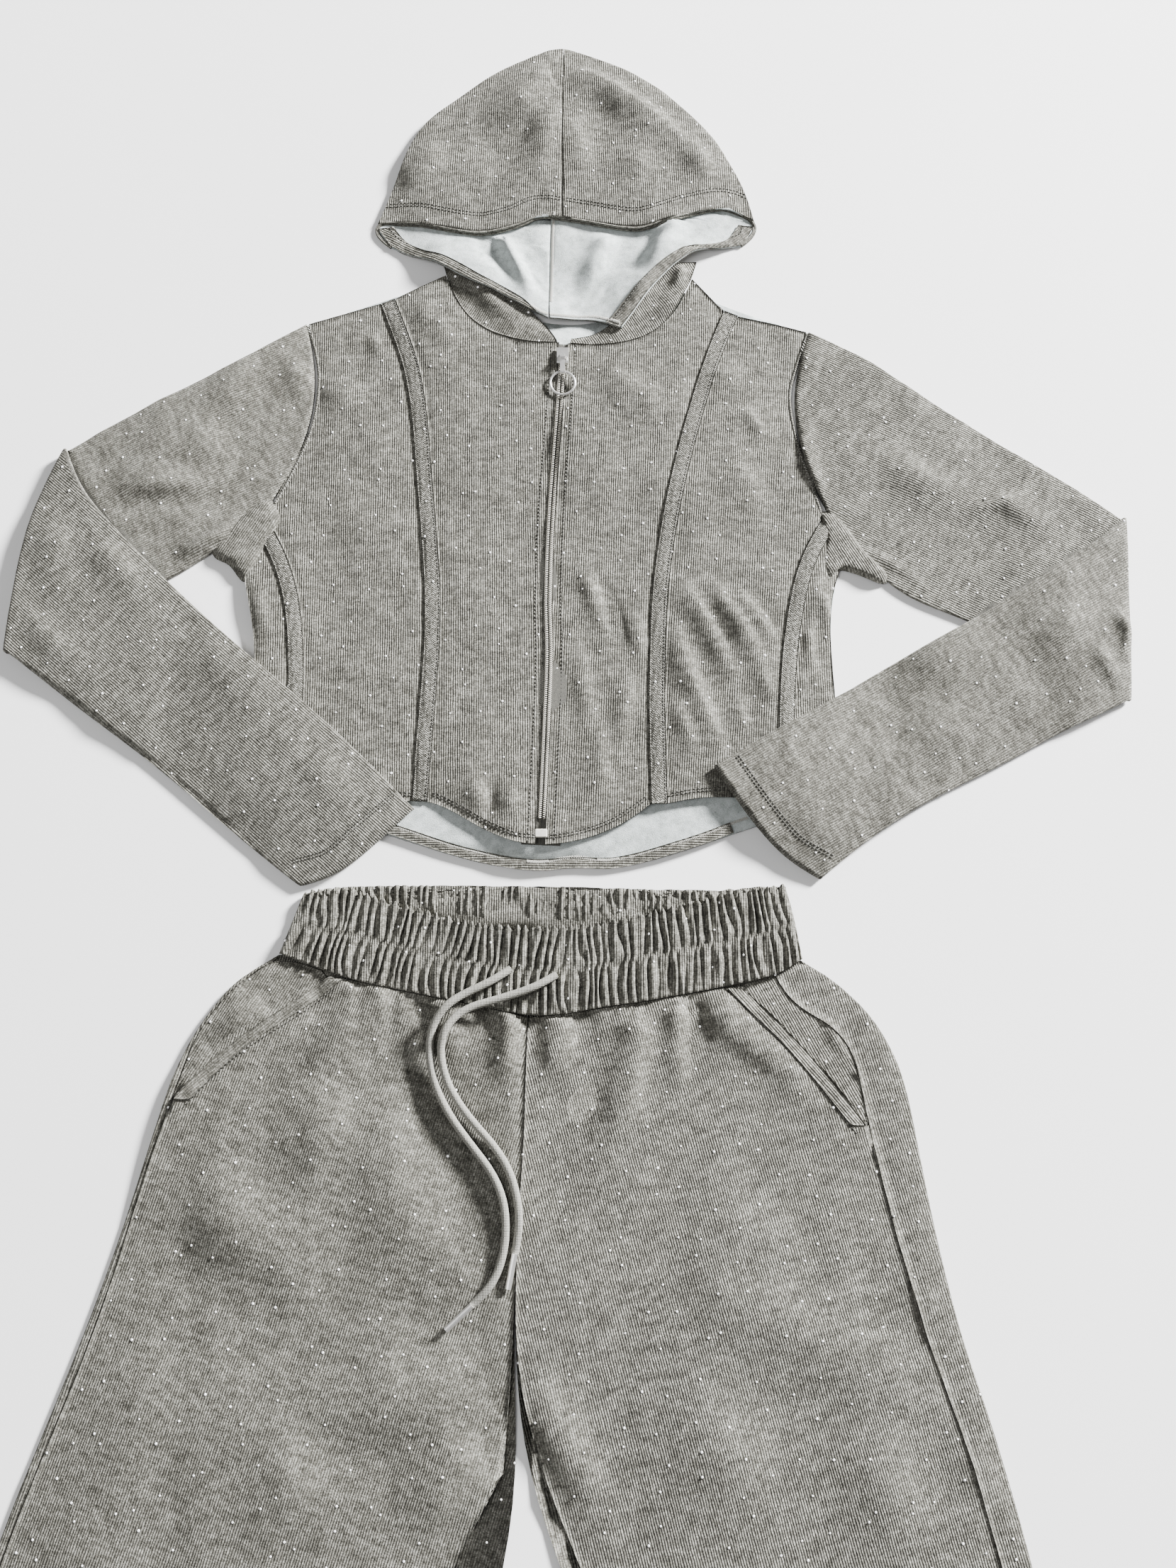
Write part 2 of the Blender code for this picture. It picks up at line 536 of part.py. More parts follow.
def build_pull(pin, base, metal):
    """The link on the slider's pin and the ring in the link's other eye, lying on the zip."""
    eye = Vector((pin.x, 0.0, base + LINK_RIM + SEAM / 3))
    eye.y = pin.y - math.sqrt(LINK_LENGTH ** 2 - (pin.z - eye.z) ** 2)
    slope = math.degrees(math.atan2(eye.z - pin.z, eye.y - pin.y))
    neck = math.degrees(math.asin(LINK_NECK / 2 / LINK_RIM))
    outline = arc((pin.y, pin.z), LINK_RIM, slope + neck, slope + 360 - neck, 16)
    outline += arc((eye.y, eye.z), LINK_RIM, slope + 180 + neck, slope + 540 - neck, 16)
    half = LINK_WIDTH / 2
    link = extruded("pull_link", outline, pin.x - half, pin.x + half, metal)
    cutters = [rod("guide_eye_" + str(i), centre, LINK_EYE, 2 * LINK_WIDTH, metal)
               for i, centre in enumerate((pin, eye))]
    combine(link, cutters, "DIFFERENCE")
    set_origin(link, pin)

    centre = eye + Vector((0.0, -RING_RADIUS * math.cos(RING_TILT), -RING_RADIUS * math.sin(RING_TILT)))
    along = Vector((1.0, 0.0, 0.0))
    down = (eye - centre).normalized()
    normal = along.cross(down)
    turns, sides = RING_STEPS
    mesh = bmesh.new()
    rings = []
    for i in range(turns):
        a = 2 * math.pi * i / turns
        out = along * math.cos(a) + down * math.sin(a)
        rings.append([mesh.verts.new(centre + out * (RING_RADIUS + RING_WIRE * math.cos(b))
                                     + normal * (RING_WIRE * math.sin(b)))
                      for b in (2 * math.pi * (j + 0.5) / sides for j in range(sides))])
    for i in range(turns):
        one, two = rings[i], rings[(i + 1) % turns]
        for j in range(sides):
            k = (j + 1) % sides
            mesh.faces.new((one[j], one[k], two[k], two[j]))
    ring = finish_mesh("pull_ring", mesh, metal)
    set_origin(ring, eye)


# Hood tables, in centimetres on the plan
HOOD_SEAM_FRONT = ((-2.0, 62.2), (-2.1, 56.0), (-2.1, 46.4))
HOOD_SEAM_BACK = ((-2.0, 62.2), (-2.6, 54.0), (-3.0, 45.0), (-3.1, 37.3))
HOOD_OUT_LEFT = ((-3.4, 62.0), (-6.4, 60.7), (-10.4, 57.8), (-13.7, 54.8), (-14.8, 52.1), (-16.1, 48.0),
                 (-16.8, 46.1))
HOOD_OUT_RIGHT = ((-0.6, 61.9), (2.6, 60.6), (6.2, 58.2), (9.5, 54.8), (11.9, 50.8), (13.1, 47.6),
                  (13.3, 46.3))
MOUTH_TOP_LEFT = ((-2.1, 46.4), (-3.8, 46.6), (-5.6, 45.8), (-7.9, 45.2), (-10.1, 45.2), (-13.7, 46.0),
                  (-16.8, 46.1))
MOUTH_TOP_RIGHT = ((-2.0, 46.4), (0.0, 46.1), (2.5, 45.6), (4.7, 45.6), (8.5, 46.9), (11.1, 47.4),
                   (13.3, 46.3))
RIM_LEFT = ((-16.8, 45.6), (-16.2, 44.5), (-14.8, 43.4), (-12.6, 42.6), (-9.9, 40.9), (-7.2, 39.6),
            (-4.7, 38.1))
RIM_RIGHT = ((13.3, 45.8), (12.9, 44.6), (11.6, 43.9), (8.8, 43.4), (6.8, 42.0), (5.2, 40.2),
             (3.8, 38.2), (2.6, 36.5))
BACK_EDGE_LEFT = ((-4.7, 38.1), (-3.1, 37.3))
BACK_EDGE_RIGHT = ((2.6, 36.5), (0.4, 37.3), (-3.0, 37.3))
NECK_PART_LEFT = ((-11.4, 42.1), (-9.6, 41.6), (-7.4, 40.6), (-5.6, 39.4), (-4.6, 38.0), (-3.4, 36.9),
                  (-2.5, 35.7))
NECK_PART_RIGHT = ((8.6, 42.4), (6.2, 42.2), (4.2, 40.4), (3.0, 38.6), (1.9, 37.0), (0.6, 36.1),
                   (-1.3, 35.7))
HOOD_GAP = 0.0012                 # inside the fold at the hood's outline
HOOD_LOFT = 0.0025
RIM_RISE = 0.0062                 # the mouth edge lies on the neck part
RIM_FLAT = 0.009                  # it stays up this far from the neck part's hidden edge
RIM_SLOPE = 0.022                 # and comes down over this distance
HEM_WIDTH = 0.0130
HEM_SHARE = 0.42                  # of a short row's length, at the most
HEM_WALL = 0.0012
HOOD_UPPER = 11                   # rows above the mouth's corners
HOOD_LOWER = 9
HOOD_FRONT_COLS = 8
HOOD_BACK_COLS = 7
NECK_ROWS = 4


def fold_row(tip, inward, radius, gap):
    """The turn from the upper layer to the lower one, as outer and inner points."""
    return [[np.append(tip + inward * (radius - size * math.cos(a)), radius + size * math.sin(a))
             for a in FOLD_ANGLES] for size in (radius, gap / 2)]


def hood_front_row(plan, tuck, down):
    """A row of the hood's front layer, from the centre seam to the turn."""
    plan = plan.copy()
    plan[-1] += tuck
    across = np.linspace(0.0, 1.0, HOOD_FRONT_COLS)
    loft = HOOD_LOFT * (1 - across ** 3) * math.sin(math.pi * (0.12 + 0.7 * down))
    low = WALL + HOOD_GAP + loft
    return lift(plan, low + WALL + ridges(plan, HOOD_FOLDS)), lift(plan, low)


def hood_back_row(path, first, borders):
    """A row of the back layer up to its centre seam; the mouth's rows lie on the neck part."""
    length = length_of(path)
    second = min(max(HEM_WIDTH, first + WALL), HEM_SHARE * length)
    plan = along_line(path, np.concatenate([[first], np.linspace(second, length, HOOD_BACK_COLS - 1)]))
    if first > 0.0:
        return plan, np.zeros(HOOD_BACK_COLS)
    near = np.minimum(away_from(plan, borders[0]), away_from(plan, borders[1]))
    return plan, RIM_RISE * (1 - step01((near - RIM_FLAT) / RIM_SLOPE))


def build_hood(face):
    """Two panels: front layer, fold at the outline and back layer; the mouth stays open."""
    borders = [chain(NECK_PART_LEFT), chain(NECK_PART_RIGHT)]
    sides = (("left", -1, HOOD_OUT_LEFT, MOUTH_TOP_LEFT, RIM_LEFT, BACK_EDGE_LEFT),
             ("right", 1, HOOD_OUT_RIGHT, MOUTH_TOP_RIGHT, RIM_RIGHT, BACK_EDGE_RIGHT))
    radius = WALL + HOOD_GAP / 2
    rows = HOOD_UPPER + HOOD_LOWER
    turned = HOOD_FRONT_COLS + len(FOLD_ANGLES)
    mask = np.ones((rows - 1, turned + HOOD_BACK_COLS - 1), dtype=bool)
    mask[HOOD_UPPER - 1:, :turned] = False
    for name, sign, out_table, mouth_table, rim_table, edge_table in sides:
        outline = resample(chain(out_table), HOOD_UPPER)
        seam = resample(shifted(chain(HOOD_SEAM_FRONT), sign * SEAM / 2), HOOD_UPPER)
        front = coons(np.array((seam[0], outline[0])), chain(mouth_table), seam, outline,
                      HOOD_UPPER, HOOD_FRONT_COLS)
        start = np.concatenate([outline, resample(chain(rim_table), HOOD_LOWER)])
        end = resample(shifted(chain(HOOD_SEAM_BACK), sign * SEAM / 2), rows)
        paths = [np.array(pair) for pair in zip(start, end)]
        paths[-1] = chain(edge_table)
        outer, inner = [], []
        for r, path in enumerate(paths):
            tip = path[0]
            inward = (path[1] - tip) / np.linalg.norm(path[1] - tip)
            if r < HOOD_UPPER:
                upper_out, upper_in = hood_front_row(front[r], inward * radius, r / (HOOD_UPPER - 1))
                turn_out, turn_in = fold_row(tip, inward, radius, HOOD_GAP)
            plan, rise = hood_back_row(path, radius if r < HOOD_UPPER else 0.0, borders)
            outer.append(np.concatenate([upper_out, turn_out, lift(plan, rise)]))
            inner.append(np.concatenate([upper_in, turn_in, lift(plan, rise + WALL)]))
        outer, inner = np.array(outer), np.array(inner)
        grid_solid("hood_" + name, outer, inner, face, mask=mask)

        edge, far = inner[HOOD_UPPER:, turned], inner[HOOD_UPPER:, turned + 1]
        low = np.stack([edge + EDGE_INSET * (far - edge), far], axis=1) + np.array((0.0, 0.0, SEAM))
        grid_solid("hood_hem_" + name, low + np.array((0.0, 0.0, HEM_WALL)), low, face)

    for name, side, neck, hidden in (("left", 1, NECK_LEFT, NECK_PART_LEFT),
                                     ("right", -1, NECK_RIGHT[::-1], NECK_PART_RIGHT)):
        seam = shifted(resample(chain(neck), NECK_COLS), side * 1.5 * SEAM)
        edge = chain(hidden)
        plan = coons(np.array((seam[0], edge[0])), np.array((seam[-1], edge[-1])), seam, edge,
                     NECK_COLS, NECK_ROWS)
        panel("hood_neck_" + name, plan, front_under, flat, face)


# Flattened tubes

TURN_PLACE = 0.3                  # the point between a tube's fold and its flat part
TURN_THICK = 0.75                 # and how much of the thickness it has
TURN_INSIDE = 0.0006


def edge_spread(length, start, near, count):
    """Distances across a flattened tube, close together at its two folds."""
    middle = np.linspace(near, length - near, count)
    turn = start + (near - start) * TURN_PLACE
    return np.concatenate([[start, turn], middle, [length - turn, length - start]])


def tube_row(lines, middle, half, wall, counts, flip=1, bend=None, raised=None):
    """One ring of a flattened tube, as outer and inner points.

    lines are the plan lines of the two layers, middle(plan, across) the height between them,
    half(across) the half thickness, flip turns the tube over and bend lays it round a fold.
    """
    rings = []
    for is_inner in (False, True):
        ring = []
        for layer, line, count in zip((-1, 1), lines, counts):
            length = length_of(line)
            start = wall if is_inner else 0.0
            near = max(half(0.0), wall + TURN_INSIDE) if is_inner else half(0.0)
            spread = edge_spread(length, start, near, count)
            plan = along_line(line, spread)
            factor = np.ones(len(spread))
            factor[[0, -1]] = 0.0
            factor[[1, -2]] = TURN_THICK
            across = spread / length
            thick = np.array([half(a) for a in across]) - (wall if is_inner else 0.0)
            offset = layer * flip * thick * factor
            if bend is None:
                z = middle(plan, across) + offset
                if raised is not None and layer == 1 and not is_inner:
                    z = z + raised(len(spread)) * (factor == 1.0)
                points = np.concatenate([plan, z[:, None]], axis=1)
            else:
                angle, outward, radius, centre = bend
                reach = radius - offset
                moved = plan + outward * (reach * math.sin(angle))[:, None]
                z = centre - reach * math.cos(angle)
                points = np.concatenate([moved, z[:, None]], axis=1)
            ring.append(points)
        rings.append(np.concatenate([ring[0], ring[1][::-1][1:-1]]))
    return rings


def tree_of_rings(rings):
    """A search tree for the outer skin of a tube given by its rings."""
    rows, cols = rings.shape[:2]
    points = [Vector(p) for p in rings.reshape(-1, 3)]
    faces = [(r * cols + c, r * cols + (c + 1) % cols, (r + 1) * cols + (c + 1) % cols, (r + 1) * cols + c)
             for r in range(rows - 1) for c in range(cols)]
    return BVHTree.FromPolygons(points, faces)


class Ground:
    """Top of everything built so far, as a smooth cover that a layer can lie on."""

    CELL = 0.006
    REACH = 4                     # cells that the cover is grown and softened by
    ABOVE = 0.2

    def __init__(self, names, low, high, rings=None):
        meshes = [bpy.data.objects[name].data for name in names]
        trees = [BVHTree.FromPolygons([v.co for v in data.vertices],
                                      [p.vertices[:] for p in data.polygons]) for data in meshes]
        if rings is not None:
            trees.append(tree_of_rings(rings))
        self.low = np.array(low)
        self.count = np.ceil((np.array(high) - self.low) / self.CELL).astype(int) + 1
        top = np.zeros(tuple(self.count))
        down = Vector((0.0, 0.0, -1.0))
        for i in range(self.count[0]):
            for j in range(self.count[1]):
                x, y = self.low + self.CELL * np.array((i, j))
                for tree in trees:
                    hit = tree.ray_cast(Vector((x, y, self.ABOVE)), down)[0]
                    if hit is not None:
                        top[i, j] = max(top[i, j], hit.z)
        self.top = self.soften(self.grow(top, self.REACH), self.REACH)

    @staticmethod
    def grow(field, radius):
        """The highest value within a radius of cells."""
        for axis in (0, 1):
            made = field.copy()
            for step in range(1, radius + 1):
                for sign in (-1, 1):
                    made = np.maximum(made, np.roll(field, sign * step, axis=axis))
            field = made
        return field

    @staticmethod
    def soften(field, radius):
        for axis in (0, 1):
            parts = [np.roll(field, step, axis=axis) for step in range(-radius, radius + 1)]
            field = np.mean(parts, axis=0)
        return field

    def at(self, plan):
        place = (np.asarray(plan) - self.low) / self.CELL
        place = np.clip(place, 0.0, self.count - 1.001)
        base = place.astype(int)
        part = place - base
        i, j = base[..., 0], base[..., 1]
        s, t = part[..., 0], part[..., 1]
        top = self.top
        return (top[i, j] * (1 - s) * (1 - t) + top[i + 1, j] * s * (1 - t)
                + top[i, j + 1] * (1 - s) * t + top[i + 1, j + 1] * s * t)


# Sleeve tables, in centimetres on the plan
SLEEVES = {
    "left": {
        "armhole": ((-22.1, 37.15), (-21.3, 34.4), (-21.0, 31.7), (-21.4, 28.1), (-22.8, 24.2),
                    (-24.4, 21.0), (-25.8, 19.6)),
        "outer": ((-22.1, 37.15), (-26.1, 34.5), (-29.3, 32.6), (-34.0, 30.0), (-37.7, 27.8),
                  (-40.2, 26.3)),
        "crease": ((-40.2, 26.3), (-41.5, 23.6), (-42.4, 20.0), (-43.0, 15.0), (-43.3, 9.9)),
        "underarm": ((-25.8, 19.6), (-27.2, 19.3), (-28.6, 17.6), (-31.3, 15.9), (-37.0, 13.0),
                     (-43.3, 9.9)),
        "upper_edge": ((-40.2, 26.3), (-38.3, 22.6), (-35.7, 19.8), (-32.3, 16.3), (-28.6, 12.8),
                       (-24.9, 9.5), (-21.1, 6.3), (-17.8, 3.3), (-14.9, 0.5), (-12.5, -2.0)),
        "lower_edge": ((-43.3, 9.9), (-41.0, 8.4), (-37.5, 5.7), (-31.8, 1.5), (-27.9, -1.7),
                       (-24.3, -4.7), (-20.6, -7.6)),
        "cuff": ((-12.5, -2.0), (-15.2, -4.5), (-17.8, -6.7), (-20.6, -7.6)),
        "outward": (-1.0, 0.12),
    },
    "right": {
        "armhole": ((17.3, 36.45), (16.3, 33.4), (15.7, 30.8), (16.1, 27.2), (17.0, 23.9),
                    (17.8, 21.0), (19.1, 19.4)),
        "outer": ((17.3, 36.45), (19.0, 35.9), (23.0, 33.1), (27.3, 29.9), (33.1, 25.8), (37.3, 22.9),
                  (40.8, 20.6)),
        "crease": ((40.8, 20.6), (40.7, 17.5), (40.4, 13.0), (40.3, 9.5), (40.0, 6.2)),
        "underarm": ((19.1, 19.4), (20.6, 17.8), (22.0, 15.8), (24.7, 13.8), (28.2, 12.6), (34.0, 9.6),
                     (40.0, 6.2)),
        "upper_edge": ((40.8, 20.6), (38.3, 18.7), (35.1, 16.7), (29.1, 12.8), (23.1, 9.4), (17.3, 5.9),
                       (12.1, 3.0), (9.1, 1.1)),
        "lower_edge": ((40.0, 6.2), (34.4, 3.7), (30.0, 1.3), (24.2, -1.6), (19.8, -4.5), (16.6, -7.1)),
        "cuff": ((9.1, 1.1), (10.4, -0.9), (12.0, -3.2), (14.1, -5.6), (16.6, -7.1)),
        "outward": (1.0, 0.04),
    },
}
UPPER_ROWS = 8
FORE_ROWS = 12
ARM_COLS = 5
ELBOW_RADIUS = 0.0026
ARM_HALF = WALL + SEAM / 2


def build_sleeve(side, table, face):
    """A flattened tube, folded back over itself at the elbow."""
    lines = {key: chain(value) for key, value in table.items() if key != "outward"}
    outward = np.array(table["outward"])
    outward = outward / np.linalg.norm(outward)
    crease = lines["crease"] - outward * (ELBOW_RADIUS + ARM_HALF)
    upper = coons(lines["outer"], lines["underarm"], lines["armhole"], crease, 30, UPPER_ROWS)
    fore = coons(lines["upper_edge"], lines["lower_edge"], crease, lines["cuff"], 30, FORE_ROWS)
    counts = (ARM_COLS, ARM_COLS)
    centre = ARM_HALF + ELBOW_RADIUS
    rows = []

    def puffed(part):
        rise = ARM_LOFT / 2 * math.sin(math.pi * part)
        return lambda across: ARM_HALF + rise * math.sin(math.pi * across)

    for r in range(UPPER_ROWS):
        half = puffed(r / (UPPER_ROWS - 1))
        rows.append(tube_row((upper[:, r], upper[:, r]),
                             lambda plan, across, h=half: np.array([h(a) for a in across]),
                             half, WALL, counts))
    lower_rings = np.array([row[0] for row in rows])
    everything = np.concatenate(list(lines.values()))
    ground = Ground(BODY_NAMES, everything.min(axis=0) - 0.05, everything.max(axis=0) + 0.05, lower_rings)
    for angle in (45, 90, 135):
        rows.append(tube_row((crease, crease), None, lambda across: ARM_HALF, WALL, counts,
                             bend=(math.radians(angle), outward, ELBOW_RADIUS, centre)))
    for r in range(FORE_ROWS):
        part = r / (FORE_ROWS - 1)
        half = puffed(min(1.0, 0.15 + part * 0.6) if r else 0.0)
        turned = centre + ELBOW_RADIUS - ARM_HALF
        blend = step01(part / 0.25)

        def middle(plan, across, h=half, start=turned, mix=blend):
            rest = ground.at(plan) + 3 * SEAM
            base = np.maximum(rest, start * (1 - mix)) if mix > 0 else np.full(len(plan), start)
            return base + np.array([h(a) for a in across])

        rows.append(tube_row((fore[:, r], fore[:, r]), middle, half, WALL, counts, flip=-1))
    outer = np.array([row[0] for row in rows])
    inner = np.array([row[1] for row in rows])
    return grid_solid("sleeve_" + side, outer, inner, face, wrap=True)


BODY_NAMES = ("jacket_back", "centre_front_left", "centre_front_right", "princess_channel_left",
              "princess_channel_right", "side_front_left", "side_front_right", "side_channel_left",
              "side_channel_right", "side_panel_left", "side_panel_right")

# Trouser tables, in centimetres on the plan; below y = -52 the photo shows no more
BAND_TOP_BACK = ((-20.2, -8.1), (-17.6, -7.7), (-15.0, -7.6), (-9.8, -7.6), (-2.1, -7.7), (5.6, -7.9),
                 (10.8, -7.9), (14.1, -7.6))
BAND_TOP_FRONT = ((-20.2, -8.1), (-17.4, -8.0), (-14.8, -8.6), (-11.7, -9.5), (-8.1, -10.4), (-4.6, -10.7),
                  (-2.1, -10.7), (1.0, -10.4), (5.1, -9.5), (9.4, -8.5), (14.1, -7.6))
BAND_LOW_FRONT = ((-21.8, -12.4), (-18.5, -13.6), (-15.6, -14.5), (-12.1, -15.2), (-7.1, -16.2),
                  (-4.5, -16.7), (-2.0, -16.7), (1.0, -16.2), (5.0, -15.6), (9.8, -14.7), (13.1, -13.9),
                  (15.1, -12.8))
BAND_LOW_BACK = ((-21.8, -12.4), (-12.0, -13.4), (-3.3, -13.6), (6.0, -13.5), (15.1, -12.8))
BAND_LEFT = ((-20.2, -8.1), (-20.8, -9.6), (-21.3, -11.0), (-21.8, -12.4))
BAND_RIGHT = ((14.1, -7.6), (14.6, -9.6), (14.9, -11.3), (15.1, -12.8))
BAND_ROWS = 5

POCKET_LEFT = ((-18.3, -14.0), (-20.4, -15.6), (-22.7, -17.1), (-24.7, -18.5), (-26.6, -20.2),
               (-28.6, -22.4))
POCKET_RIGHT = ((11.0, -14.7), (12.5, -16.3), (14.1, -17.8), (15.9, -19.8), (17.4, -21.7), (19.3, -24.2))
SEAM_LEFT = ((-28.6, -22.4), (-29.3, -23.9), (-30.3, -27.6), (-31.9, -34.5), (-33.9, -40.6), (-36.2, -46.9),
             (-37.6, -51.0), (-41.5, -65.0), (-46.5, -83.0), (-51.4, -103.0))
SEAM_RIGHT = ((19.3, -24.2), (19.8, -26.5), (20.8, -31.5), (21.9, -36.4), (23.6, -40.8), (25.3, -46.4),
              (26.6, -51.8), (29.8, -66.0), (34.5, -84.0), (40.0, -104.2))
TOP_SEAM_LEFT = ((-22.3, -12.9), (-24.0, -14.1), (-25.8, -15.9), (-27.4, -18.5), (-28.6, -22.4))
TOP_SEAM_RIGHT = ((13.2, -14.0), (14.4, -15.9), (16.6, -17.2), (18.2, -18.8), (18.8, -21.0), (19.3, -24.2))
OUT_TOP_LEFT = ((-22.0, -12.7), (-23.6, -13.5), (-25.6, -15.3), (-27.3, -17.8), (-28.4, -20.0),
                (-29.1, -22.2))
OUT_LEFT = ((-29.1, -22.2), (-29.8, -24.5), (-30.9, -29.0), (-32.4, -34.4), (-34.3, -39.8),
            (-35.8, -44.2), (-38.1, -50.6), (-42.2, -65.0), (-47.2, -83.0), (-52.0, -103.0))
OUT_TOP_RIGHT = ((15.2, -13.1), (16.9, -14.0), (18.8, -15.7), (20.4, -17.7), (21.7, -20.5), (22.4, -24.0))
OUT_RIGHT = ((22.4, -24.0), (23.1, -29.0), (24.2, -35.8), (25.5, -40.0), (27.0, -45.0), (28.3, -50.4),
             (31.5, -66.0), (36.2, -84.0), (41.4, -104.0))
CENTRE_TOP = ((-4.2, -16.9), (-4.3, -20.0), (-4.4, -25.0))
BACK_TOP = ((-4.2, -13.9), (-4.3, -20.0), (-4.4, -25.0))
CENTRE_SEAM = ((-4.4, -25.0), (-4.7, -30.0), (-5.0, -37.0), (-4.8, -42.8))
INNER_LEFT = ((-4.8, -42.8), (-5.5, -46.4), (-7.1, -48.6), (-8.9, -51.8), (-11.5, -62.0), (-16.0, -83.0),
              (-20.6, -108.6))
INNER_RIGHT = ((-4.8, -42.8), (-3.3, -46.0), (-1.9, -48.9), (-0.4, -51.8), (3.0, -62.0), (7.2, -84.0),
               (11.2, -108.4))
BACK_INNER_LEFT = ((-4.8, -42.8), (-4.5, -46.0), (-4.5, -49.5), (-5.2, -52.5), (-8.6, -62.0),
                   (-14.6, -83.0), (-20.0, -109.0))
BACK_INNER_RIGHT = ((-4.8, -42.8), (-4.1, -46.0), (-3.7, -49.2), (-1.6, -52.5), (2.0, -62.0), (6.6, -84.0),
                    (10.6, -108.8))
POCKET_ROWS = 8
LEG_ROWS = POCKET_ROWS + 13
LEG_COLS = 9
POCKET_HEM = 0.0120
POCKET_HEM_WALL = 0.0010
FACING_REACH = 0.011              # how far the pocket's inner piece runs in under the front
FACING_COLS = 4
POCKET_KEEP = 0.026               # the front stays raised this far from the pocket edge
POCKET_FADE = 0.020
CROTCH_Y = -0.40                  # below it the two edges of each front lie down alike
CROTCH_FADE = 0.06
BAND_LOFT = 0.0012
BAND_END = 0.7                    # share of the gathers' depth at the waistband's edges
BAND_BACK_COLS = 10
LEG_BACK_COLS = 7


def build_waistband(face):
    """An elastic ring lying flat, its front gathered; the gathers change over halfway down."""
    back = coons(chain(BAND_TOP_BACK), chain(BAND_LOW_BACK), chain(BAND_LEFT), chain(BAND_RIGHT),
                 BAND_ROWS, 40)
    front = coons(chain(BAND_TOP_FRONT), chain(BAND_LOW_FRONT), chain(BAND_LEFT), chain(BAND_RIGHT),
                  BAND_ROWS, 80)
    rows = []
    for r in range(BAND_ROWS):
        lofted = BAND_LOFT * math.sin(math.pi * (0.25 + 0.5 * r / (BAND_ROWS - 1)))
        half = lambda across, rise=lofted: BAND_WALL + SEAM / 2 + rise * math.sin(math.pi * across)
        turn = 0 if r < BAND_ROWS / 2 else 1
        depth = GATHER_DEPTH * (1.0 if 0 < r < BAND_ROWS - 1 else BAND_END)
        rows.append(tube_row((back[r], front[r]),
                             lambda plan, across, h=half: np.array([h(a) for a in across]),
                             half, BAND_WALL, (BAND_BACK_COLS, 2 * GATHERS + 1),
                             raised=lambda n, t=turn, d=depth: d * ((np.arange(n) + t) % 2)))
    outer = np.array([row[0] for row in rows])
    inner = np.array([row[1] for row in rows])
    return grid_solid("waistband", outer, inner, face, wrap=True)


def leg_front(side, face):
    """Front of one leg, from the pocket edge to the centre seam; returns its outer points."""
    sign = 1 if side == "left" else -1
    pocket, seam = (POCKET_LEFT, SEAM_LEFT) if side == "left" else (POCKET_RIGHT, SEAM_RIGHT)
    inner = INNER_LEFT if side == "left" else INNER_RIGHT
    out_line = shifted(two_part((pocket,), (seam,)), sign * 2 * SEAM)
    in_line = shifted(two_part((CENTRE_TOP,), (CENTRE_SEAM, inner)), -sign * SEAM)
    low_seam = shifted(chain(BAND_LOW_FRONT), -2 * SEAM)
    near, far = (out_line[0], in_line[0])
    picks = [p for p in low_seam if min(near[0], far[0]) < p[0] < max(near[0], far[0])]
    top = np.array([near] + (picks if sign == 1 else picks[::-1]) + [far])
    hem = np.array((out_line[-1], in_line[-1]))
    plan = coons(top, hem, out_line, in_line, LEG_ROWS, LEG_COLS)
    pocket_line = chain(pocket)
    aside = np.linspace(0.0, 1.0, LEG_COLS)[None, :] * np.ones((LEG_ROWS, 1))
    closed = step01((CROTCH_Y - (plan[:, -1:, 1] - PLAN_SHIFT[1])) / CROTCH_FADE)
    shape = (1 - closed) * (1 - (1 - aside) ** 3) + closed * (1 - np.abs(2 * aside - 1) ** 3)
    pocket_rise = LAYER * (1 - step01((away_from(plan, pocket_line) - POCKET_KEEP) / POCKET_FADE))
    low = LAYER + LEG_LOFT * shape + pocket_rise
    pucker = np.zeros_like(low)
    for row, rise in enumerate(PUCKER_RISE):
        pucker[row, 1:-1:2] = rise
    high = low + WALL + ridges(plan, LEG_FOLDS) + pucker
    outer = lift(plan, high)
    grid_solid("front_leg_" + side, outer, lift(plan, low), face)

    edge, beside = outer[:POCKET_ROWS + 1, 0], outer[:POCKET_ROWS + 1, 1]
    span = beside - edge
    share = np.minimum(POCKET_HEM / np.linalg.norm(span, axis=1), 1 - EDGE_INSET)[:, None]
    strip = np.stack([edge + EDGE_INSET * span, edge + share * span], axis=1) + np.array((0, 0, SEAM))
    grid_solid("pocket_hem_" + side, strip + np.array((0, 0, POCKET_HEM_WALL)), strip, face)


